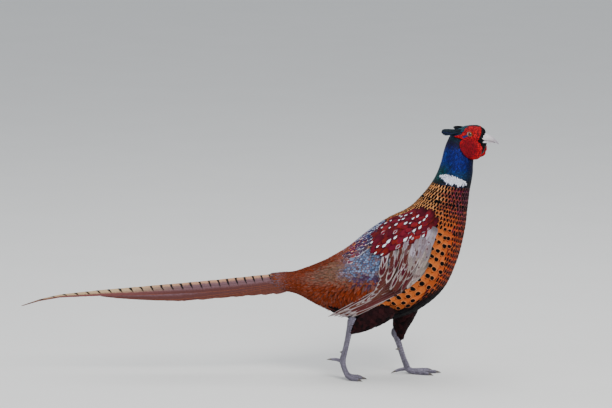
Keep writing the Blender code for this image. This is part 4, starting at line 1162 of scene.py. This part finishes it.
def copied(name, sources, voxel, smoothing, extra=None):
    """One surface through copies of CAD nodes, remeshed and smoothed."""
    bm = bmesh.new()
    for mesh in (*(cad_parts[source].data for source in sources), *([extra] if extra else ())):
        bm.from_mesh(mesh)
    mesh = bpy.data.meshes.new(name)
    bm.to_mesh(mesh)
    bm.free()
    made = show(name, mesh)
    remesh = made.modifiers.new("remesh", "REMESH")
    remesh.mode = "VOXEL"
    remesh.voxel_size = voxel
    even = made.modifiers.new("even", "SMOOTH")
    even.factor = 0.5
    even.iterations = smoothing
    mesh = bpy.data.meshes.new_from_object(made.evaluated_get(bpy.context.evaluated_depsgraph_get()))
    bpy.data.objects.remove(made)
    return mesh


def trunk_mesh(start, end, rows=120, columns=96):
    """The closed surface of the body from one section to another."""
    u, a = np.meshgrid(np.linspace(start, end, rows), np.arange(columns) * math.tau / columns - math.pi,
                       indexing="ij")
    faces = tube_faces(rows - 1, columns)
    faces[-2] = faces[-2][::-1]
    return make_mesh("trunk", winged_body(np.stack((u, a), -1)).reshape(-1, 3), faces)


# The trunk's first and last section, and the fineness of the skin and the wattles in metres.
TRUNK = (11.0, 22.3)
SKIN_VOXEL, WATTLE_VOXEL = 0.0022, 0.00055


def make_skin():
    """The one skin under all the feathers, with the colours of the coat over it darkened to 0.6: painted
    shade where it shows between the feathers.
    """
    mesh = copied("skin", ("head", "neck", "collar", "thigh_left", "thigh_right"), SKIN_VOXEL, 4,
                  trunk_mesh(*TRUNK))
    co = coordinates(mesh)
    co = co - coordinates(mesh, "normal") * ((0.9 + 1.3 * smooth(co[:, 2] / MM, 410, 350)) * MM)[:, None]
    mesh.vertices.foreach_set("co", co.ravel())
    mesh.shade_smooth()
    mesh.update()
    x, y = picture(coordinates(mesh))
    base = layered(mantle_colour(x, y)[0],
                   rump_paint(x, y)["base"], smooth(line_at(LEDGE, y) - x, -4, 4),
                   "belly", smooth(y - line_at(BELLY_LINE, x), -3, 3),
                   PALETTE["neck_blue"] * 0.5, 1 - smooth(y, 178, 186),
                   "ink", 1 - smooth(y, 146, 152))
    # The coat's colours at 0.6: painted shade in the gaps between the feathers.
    hold(mesh, base=base * 0.6)
    look = Look("under_feathers", 0.85, Specular_IOR_Level=0.15)
    noise = look.noise(300, 5)
    mesh.materials.append(look.finish(look.held("base"), noise * 0.8 + 0.6, noise, 0.6, 0.001))
    put("skin", mesh, "breast", "head", "neck", "collar", "torso", "rump", "thigh_left", "thigh_right")


def wattle_material():
    """Bare red skin: scarlet at the rim, darker and granular in the middle."""
    look = Look("wattle", 0.5, Specular_IOR_Level=0.12, Subsurface_Weight=0.05,
                Subsurface_Radius=(0.004, 0.001, 0.0006))
    grain = look.cells(620.0)
    colour = look.blend(look.held("depth", "Fac"), (0.6, 0.0, 0.004), (0.25, 0.0, 0.008))
    colour = look.blend(look.eased(grain, 0.28, 0.6), colour, (0.1, 0.0, 0.004))
    return look.finish(colour, look.noise(160) * 0.5 + 0.75, 1.0 - grain, 0.7, 0.0007)


# Waves that raise the wattle's grains: along x or z, radians to the millimetre, and their start.
GRAIN_WAVES = ((0, 3.9, 0.0), (2, 4.3, 1.0), (0, 2.3, 2.0), (2, 2.6, 0.5))


def make_face(side, sign, material):
    """The granular red wattle round one eye, made over its solid."""
    mesh = copied(f"wattle_{side}", (f"face_{side}",), WATTLE_VOXEL, 3)
    co, normal = coordinates(mesh), coordinates(mesh, "normal")
    eye = turned((EYE * (1, sign, 1)) * MM)
    away = np.linalg.norm((co - eye)[:, [0, 2]], axis=1) / MM
    middle = turned(np.array((360.0, sign * 14.0, 399.0)) * MM)
    radial = np.linalg.norm((co - middle)[:, [0, 2]] / (0.019, 0.021), axis=1)
    waves = [np.sin(co[:, i] / MM * many + start) for i, many, start in GRAIN_WAVES]
    bumps = waves[0] * waves[1] * 0.16 + waves[2] * waves[3] * 0.16
    bumps *= smooth(away, 6.5, 9.5) * smooth(normal[:, 1] * sign, 0.0, 0.5)
    co = co + normal * (bumps * MM)[:, None]
    fore = smooth(co[:, 0] / MM, 372, 384) * (1 - smooth(np.abs(co[:, 2] / MM - 392), 7, 16))
    co[:, 0] += (sign > 0) * 3.6 * MM * fore
    mesh.vertices.foreach_set("co", co.ravel())
    hold(mesh, depth=smooth(1.0 - radial, 0.08, 0.4))
    mesh.materials.append(material)
    mesh.shade_smooth()
    mesh.update()
    put(f"wattle_{side}", mesh, "face", f"face_{side}")


def ring_mesh(name, material, centre, outward, radius, thick, steps=48, sides=12):
    """A ring round an axis."""
    outward = Vector(outward).normalized()
    first = outward.orthogonal().normalized()
    second = outward.cross(first)
    points, faces = [], []
    for i in range(steps):
        angle = math.tau * i / steps
        away = first * math.cos(angle) + second * math.sin(angle)
        for k in range(sides):
            turn = math.tau * k / sides
            points.append(Vector(centre) + away * (radius + thick * math.cos(turn))
                          + outward * thick * math.sin(turn))
            a, b = i * sides + k, i * sides + (k + 1) % sides
            c, d = ((i + 1) % steps) * sides + (k + 1) % sides, ((i + 1) % steps) * sides + k
            faces.append((a, d, c, b))
    return make_mesh(name, [tuple(p) for p in points], faces, material, False)


def eye_material():
    """Dark pupil, amber iris and dark rim, by how far a point is from the eye's axis."""
    look = Look("eye", 0.15, Coat_Weight=0.35, Coat_Roughness=0.03)
    rough = look.held("out", "Fac") + (look.noise(2500) - 0.5) * 0.05
    colour = look.blend(look.eased(rough, 0.5, 0.54), (0.001, 0.001, 0.002), (0.42, 0.1, 0.015))
    colour = look.blend(look.eased(rough, 0.56, 0.68), colour, (0.22, 0.06, 0.02))
    return look.finish(look.blend(look.eased(rough, 0.68, 0.74), colour, (0.02, 0.008, 0.006)))


def lid_material():
    look = Look("lid", 0.55)
    noise = look.noise(1500)
    return look.finish(look.blend(noise, (0.22, 0.21, 0.27), (0.36, 0.31, 0.36)), None, noise, 0.4, 0.0003)


def make_eyes():
    made, lid = eye_material(), lid_material()
    radius = EYE_RADIUS * MM
    for side, sign in SIDES:
        centre = turned((EYE * (1, sign, 1)) * MM)
        outward = turned((EYE * (1, sign, 1) + (1.2, sign * 10, 0.6)) * MM) - centre
        outward /= np.linalg.norm(outward)
        bm = bmesh.new()
        bmesh.ops.create_uvsphere(bm, u_segments=48, v_segments=40, radius=radius)
        turn = Vector((0, 0, 1)).rotation_difference(Vector(outward)).to_matrix()
        bmesh.ops.transform(bm, matrix=turn.to_4x4(), verts=bm.verts)
        mesh = bpy.data.meshes.new(f"eyeball_{side}")
        bm.to_mesh(mesh)
        bm.free()
        co = coordinates(mesh)
        ahead = co @ outward
        off = np.linalg.norm(co - ahead[:, None] * outward, axis=1) / radius
        off = np.where(ahead > 0, off, 2 - off)
        bulge = 0.35 * MM * smooth(0.8 - off, 0, 0.5)
        mesh.vertices.foreach_set("co", (co + outward * bulge[:, None] + centre).ravel())
        hold(mesh, out=off)
        mesh.materials.append(made)
        mesh.shade_smooth()
        put(f"eyeball_{side}", mesh, "eye", f"eye_{side}")
        rim = ring_mesh(f"lid_{side}", lid, centre + outward * 3.9 * MM, outward, 4.85 * MM, 0.45 * MM)
        put(f"lid_{side}", rim, "face")


def horn_material(name, root, tip, line):
    """Bill horn: paler at the root, greyer to the tip, with a dark line along the cutting edges, painted
    shade in the seam where the halves meet. The claws take the line colour underneath.
    """
    look = Look(name, 0.34, Subsurface_Weight=0.08, Subsurface_Radius=(0.002, 0.0015, 0.001))
    _, along, under = look.parts("place")
    noise = look.noise(700)
    colour = look.blend(look.eased(along + look.noise(150) * 0.3, 0.35, 1.15), root, tip)
    # The line colour where under is near 1: on the bill the cutting edges, painted shade in the seam between
    # the halves.
    colour = look.blend(look.eased(under + noise * 0.2, 0.86, 1.12, 0.0, 0.6), colour, line)
    return look.finish(colour, noise * 0.36 + 0.82, noise, 0.35, 0.0002)


def make_bill(material):
    """Both halves of the bill, rounded above and below, with a nostril and its flap at each side."""
    steps, sides = 40, 28
    for name, rows, lower in (("bill_upper", BILL_UPPER, False), ("bill_lower", BILL_LOWER, True)):
        table = np.array(rows)
        points, place = [], []
        for i in range(steps + 1):
            t = i / steps
            x, top, bottom, half = curve_rows(table, np.array(t * (len(table) - 1)))
            for k in range(sides):
                angle = math.tau * k / sides
                high, out = math.cos(angle), math.sin(angle)
                if (high < 0) != lower:
                    out = math.copysign(abs(out) ** 0.5, out)
                elif not lower:
                    out *= 1 - (0.22 + 0.3 * max(1 - 4 * t, 0)) * max(high, 0) ** 2
                spot = np.array((x, half * out, (top + bottom) / 2 + (top - bottom) / 2 * high))
                if not lower:
                    mirror = (1, math.copysign(1, out), 1)
                    hole = np.linalg.norm((spot - np.multiply(NOSTRIL, mirror)) / (3.0, 3.5, 1.0))
                    flap = np.linalg.norm((spot - np.multiply(NOSTRIL_FLAP, mirror)) / (3.4, 3.5, 1.4))
                    dent = 0.2 * float(smooth(1.15 - hole, 0, 0.7))
                    spot[1] *= 1 - dent + 0.1 * float(smooth(1.2 - flap, 0, 0.8))
                points.append(turned(spot * MM))
                place.append((out, t, high if lower else -high))
        mesh = make_mesh(f"horn_{name}", points, tube_faces(steps, sides), material, place=place)
        put(f"horn_{name}", mesh, "bill", name)


# Legs in mm, each row a point and its radius. A toe's point at height 0 rests on the ground.
SHANKS = {
    "right": ((162, -34, 110, 5), (156, -34, 103.5, 6.3), (153, -33.5, 91.5, 5), (149, -32.5, 71, 4.3),
              (145, -31.5, 52.5, 4.2), (141, -30.5, 37, 4.7), (140.4, -30.3, 30.5, 4.8)),
    "left": ((236, 32, 80.5, 5), (231.5, 32, 72, 6.3), (235, 31.8, 61.5, 5), (240.5, 31.2, 44.5, 4.3),
             (246, 30.4, 27.5, 4.2), (251, 30, 14.5, 4.7), (252.6, 30, 8.6, 4.9)),
}
TOES = {
    "right": {
        "middle": ((140.4, -30.3, 31, 5), (143, -30, 19, 4), (149, -30, 8.5, 3.6), (159, -30.5, 0, 3.7),
                   (174, -31.5, 0, 2.9)),
        "inner": ((140.4, -29.5, 30, 4.4), (144.5, -26, 18, 3.4), (150, -21.5, 7.5, 3.2),
                  (158, -17, 0, 3.3), (168, -12.5, 0, 2.7)),
        "outer": ((140.4, -31, 30, 4.4), (143, -35.5, 18, 3.4), (148, -41, 7.5, 3.2),
                  (156, -46.5, 0, 3.3), (167, -52.5, 0, 2.7)),
        "hind": ((140.4, -30.3, 31, 3.4), (131, -28.5, 34, 2.7), (121, -27, 34.5, 2.3)),
    },
    "left": {
        "middle": ((252.5, 30, 8.4, 5.2), (261, 30.3, 5.2, 4.2), (273, 31, 0, 3.9), (288, 32, 0, 3.4),
                   (303, 33, 0, 2.8)),
        "inner": ((252.5, 29, 8, 4.4), (260, 24, 4.6, 3.6), (270, 18.5, 0, 3.5), (281, 13, 0, 3.1),
                  (290, 9, 0, 2.6)),
        "outer": ((252.5, 31.5, 8, 4.4), (259, 38, 4.6, 3.6), (268, 45, 0, 3.5), (279, 51.5, 0, 3.1),
                  (290, 57, 0, 2.6)),
        "hind": ((252.5, 30, 8.4, 3.4), (241, 27, 7.5, 2.7), (232, 25, 5, 2.3)),
    },
}
SPURS = {"right": ((143.8, -30.2, 48), (135, -25.5, 46)), "left": ((240.2, 29.2, 44), (231.5, 24.5, 42.5))}
CLAW_LENGTH = 8.9
# How far apart the plates lie in mm, and which way they face.
SHANK_SCALE, TOE_SCALE, BALL_SCALE = 4.2, 2.6, 3.0
SHANK_FRONT = (1.0, 0.0, 0.2)
TOE_UPS = {"hind": (0.0, 0.0, 1.0)}
SLANTED_UP = (0.35, 0.0, 1.0)
# The ball of the foot round the toes' root: steps along x and z, and the radius.
BALL = ((-1.5, 4.4, 3.4), (-0.6, 2.4, 4.9), (0, -0.5, 5.3), (0.9, -3.2, 4.2))


def grounded(rows):
    """The rows as numbers, with toes that rest on the ground raised by their radius."""
    table = np.array(rows, float)
    table[:, 2] = np.where(table[:, 2] == 0, table[:, 3] * 0.96, table[:, 2])
    return table


def scaled_tube(rows, sides, spacing, front, pads):
    """Points, faces and places of a limb with overlapping plates along its front and pads under it."""
    table = grounded(rows)
    reach = np.concatenate(([0], np.cumsum(np.linalg.norm(np.diff(table[:, :3], axis=0), axis=1))))
    count = max(int(reach[-1] / 0.55), 8)
    points, place = [], []
    for i in range(count + 1):
        walk = reach[-1] * i / count
        u = np.interp(walk, reach, np.arange(len(reach)))
        here, after, before = (curve_rows(table, np.array(u + step)) for step in (0, 0.05, -0.05))
        along = unit((after - before)[:3])
        across = unit(np.cross(np.array(front), along))
        up = np.cross(along, across)
        phase = (walk / spacing) % 1.0
        close = min(1.0, 0.4 + i / 3, 0.55 + (count - i) / 3)
        swell = pads * math.sin(math.pi * ((walk / (spacing * 2.2)) % 1.0))
        for k in range(sides):
            angle = math.tau * k / sides
            facing = math.cos(angle)
            plate = smooth(facing, 0.1, 0.5) * (0.09 - 0.18 * abs(phase - 0.55) ** 1.5 - 0.1 * (phase < 0.12))
            radius = here[3] * (1 + float(plate) + float(smooth(-facing, 0.2, 0.7) * swell)) * close
            points.append((here[:3] + (up * facing + across * math.sin(angle)) * radius) * MM)
            place.append((facing, phase, walk * MM))
    points = np.array(points)
    points[:, 2] = np.maximum(points[:, 2], 0.05 * MM)
    return points, tube_faces(count, sides), place


def curved_horn(start, ahead, length, radius, droop, steps=14, sides=12):
    """Points, faces and places of a claw or spur."""
    points, place = [], []
    ahead = unit(ahead)
    across = unit(np.cross(ahead, (0.0, 0.0, 1.0)))
    up = np.cross(across, ahead)
    for i in range(steps + 1):
        t = i / steps
        size = radius * (1 - t**1.6) * 0.96 + 0.12
        spot = start + ahead * length * t + np.array((0, 0, -droop * t * t))
        spot[2] = max(spot[2], size + 0.1)
        for k in range(sides):
            cos, sin = math.cos(math.tau * k / sides), math.sin(math.tau * k / sides)
            points.append((spot + (up * cos * 1.05 + across * sin * 0.85) * size) * MM)
            place.append((sin, t, -cos))
    return points, tube_faces(steps, sides), place


def joined(name, material, slot, replaced, *parts):
    """One piece of several tubes."""
    points, faces, place = [], [], []
    for some_points, some_faces, some_place in parts:
        start = len(points)
        points += list(some_points)
        faces += [tuple(start + i for i in f) for f in some_faces]
        place += some_place
    put(name, make_mesh(name, points, faces, material, place=place), slot, replaced)


def leg_material():
    """Grey horn plates with a painted highlight along each, darker between, with fine reticulate scales at
    the sides.
    """
    look = Look("leg_scales", 0.5)
    facing, phase, _ = look.parts("place")
    noise = look.noise(260)
    gap = look.eased(abs(phase - 0.5), 0.33, 0.48)
    seam = look.eased(look.cells(700.0, feature="DISTANCE_TO_EDGE"), 0.02, 0.12, 1.0, 0.0)
    front = look.eased(facing, 0.1, 0.4)
    lines = look.node("ShaderNodeMix", {0: front, 2: seam, 3: gap}, data_type="FLOAT")
    # Each front plate grades from dark to light along the limb: a painted highlight over the noise's random
    # tone.
    shade = noise + (look.noise(90) - 0.5) * 1.2 + front * (phase - 0.5) * 0.7
    colour = look.blend(shade, (0.05, 0.044, 0.07), (0.27, 0.245, 0.33))
    colour = look.blend(lines * 0.85, colour, (0.018, 0.014, 0.022))
    return look.finish(colour, None, noise - lines, 0.9, 0.0007)


def make_legs():
    scales = leg_material()
    horn = horn_material("claw_horn", (0.1, 0.085, 0.08), (0.035, 0.03, 0.03), (0.16, 0.13, 0.12))
    for side, _ in SIDES:
        toes = TOES[side]
        rows = [(*row[:3], row[3] * 1.1) for row in SHANKS[side]]
        joined(f"scaled_shank_{side}", scales, "leg", f"shank_{side}",
               scaled_tube(rows, 24, SHANK_SCALE, SHANK_FRONT, 0.02))
        x, y, z, _ = toes["middle"][0]
        ball = [(x + ahead, y, z + up, radius) for ahead, up, radius in BALL]
        tubes = [scaled_tube(rows, 16, TOE_SCALE, TOE_UPS.get(key, SLANTED_UP), 0.1)
                 for key, rows in toes.items()]
        joined(f"scaled_foot_{side}", scales, "leg", f"foot_{side}", *tubes,
               scaled_tube(ball, 20, BALL_SCALE, SHANK_FRONT, 0.0))
        for key, rows in toes.items():
            *_, before, last = grounded(rows)
            ahead = last[:3] - before[:3]
            joined(f"horn_claw_{side}_{key}", horn, "claw", f"claw_{side}_{key}",
                   curved_horn(last[:3] - unit(ahead) * 0.4, ahead, CLAW_LENGTH, last[3] * 0.74, 1.6))
        root, tip = np.array(SPURS[side])
        joined(f"horn_spur_{side}", horn, "claw", f"spur_{side}",
               curved_horn(root, tip - root, np.linalg.norm(tip - root), 2.7, -0.8))


def make_plumage():
    glossy = feather_material("glossy_feather", 0.4, 0.4)
    matt = feather_material("body_feather", 0.7, 0.0, 0.05)
    shoulder = feather_material("shoulder_feather", 0.65, 0.0, 0.08, 0.5, taper=0.8, square_power=1.9)
    soft = feather_material("soft_feather", 0.7, gloss=0.08)
    streaky = feather_material("wing_feather", 0.7, gloss=0.06, spread=0.75, barbs=0.8)
    # The collar's vanes get less of the painted shade at their roots.
    pale = feather_material("collar_feather", 0.7, spread=0.15, root=0.8)
    lay_head().build("head_feathers", glossy, "crown", body_map)
    dark, white = lay_neck()
    dark.build("neck_feathers", glossy, "neck", body_map)
    white.build("collar_feathers", pale, "collar", body_map)
    flank, breast = lay_torso()
    flank.build("flank_feathers", matt, "breast", body_map)
    breast.build("breast_feathers", matt, "breast", body_map)
    lay_scapulars().build("shoulder_feathers", shoulder, "breast", body_map)
    scales, hair = lay_rump()
    scales.build("back_feathers", soft, "rump", body_map)
    hair.build("rump_feathers", soft, "rump", body_map)
    lay_thighs().build("thigh_feathers", soft, "thigh", body_map)
    lay_coverts().build("tail_coverts", soft, "rump", body_map)
    lay_tufts().build("ear_tufts", glossy, "crown", body_map, "ear_tuft_left", "ear_tuft_right")
    bed = WingBed()
    for side, sign in SIDES:
        lay_wing(sign, bed).build(f"wing_feathers_{side}", streaky, "wing", wing_map, f"wing_{side}")


# Each light: its place, what it aims at, size, power and colour.
LIGHTS = {
    "key": ((1.2, -2.6, 2.6), (0.15, 0, 0.2), 1.4, 96, (1.0, 0.97, 0.93)),
    "fill": ((-2.6, -1.8, 1.5), (0.0, 0, 0.2), 2.2, 20, (0.93, 0.96, 1.0)),
    "top": ((0.0, 0.6, 3.0), (0.1, 0, 0.2), 2.4, 46, (1.0, 1.0, 1.0)),
}
FLOOR_RADIUS = 60
VIEW_CENTRE = Vector((0.0774, 0.0, 0.3006))
VIEW_DISTANCE = 10


def aimed(name, data, place, aim):
    made = show(name, data)
    made.location = place
    made.rotation_euler = (Vector(aim) - Vector(place)).to_track_quat("-Z", "Y").to_euler()
    return made


def make_stage():
    """Pale floor, soft light, and the side view."""
    look = Look("floor", 0.8)
    made = look.finish(look.blend(look.noise(6), (0.82, 0.82, 0.8), (0.86, 0.86, 0.84)))
    points = [(FLOOR_RADIUS * math.cos(a), FLOOR_RADIUS * math.sin(a), 0.0)
              for a in np.linspace(0, math.tau, 48, endpoint=False)]
    show("floor", make_mesh("floor", points, [tuple(range(len(points)))], made, False))
    world = bpy.context.scene.world or bpy.data.worlds.new("world")
    bpy.context.scene.world = world
    world.use_nodes = True
    back = world.node_tree.nodes["Background"]
    back.inputs[0].default_value = (0.86, 0.9, 0.96, 1)
    back.inputs[1].default_value = 0.66
    for name, (place, aim, size, power, colour) in LIGHTS.items():
        light = bpy.data.lights.new(name, "AREA")
        light.shape = "SQUARE"
        light.size = size
        light.energy = power
        light.color = colour
        aimed(name, light, place, aim)
    camera = bpy.data.cameras.new("camera")
    camera.lens = 342
    camera.sensor_width = 36
    camera.clip_end = 60
    place = VIEW_CENTRE + Vector((0, -math.cos(TILT), math.sin(TILT))) * VIEW_DISTANCE
    bpy.context.scene.camera = aimed("camera", camera, place, VIEW_CENTRE)


make_skin()
make_plumage()
make_tail(tail_material())
wattle = wattle_material()
for side, sign in SIDES:
    make_face(side, sign, wattle)
make_eyes()
# The third colour darkens the bill's cutting edges: painted shade in the seam between its halves.
make_bill(horn_material("bill_horn", (0.66, 0.62, 0.63), (0.28, 0.24, 0.29), (0.16, 0.12, 0.17)))
make_legs()
make_stage()

bpy.context.view_layer.update()
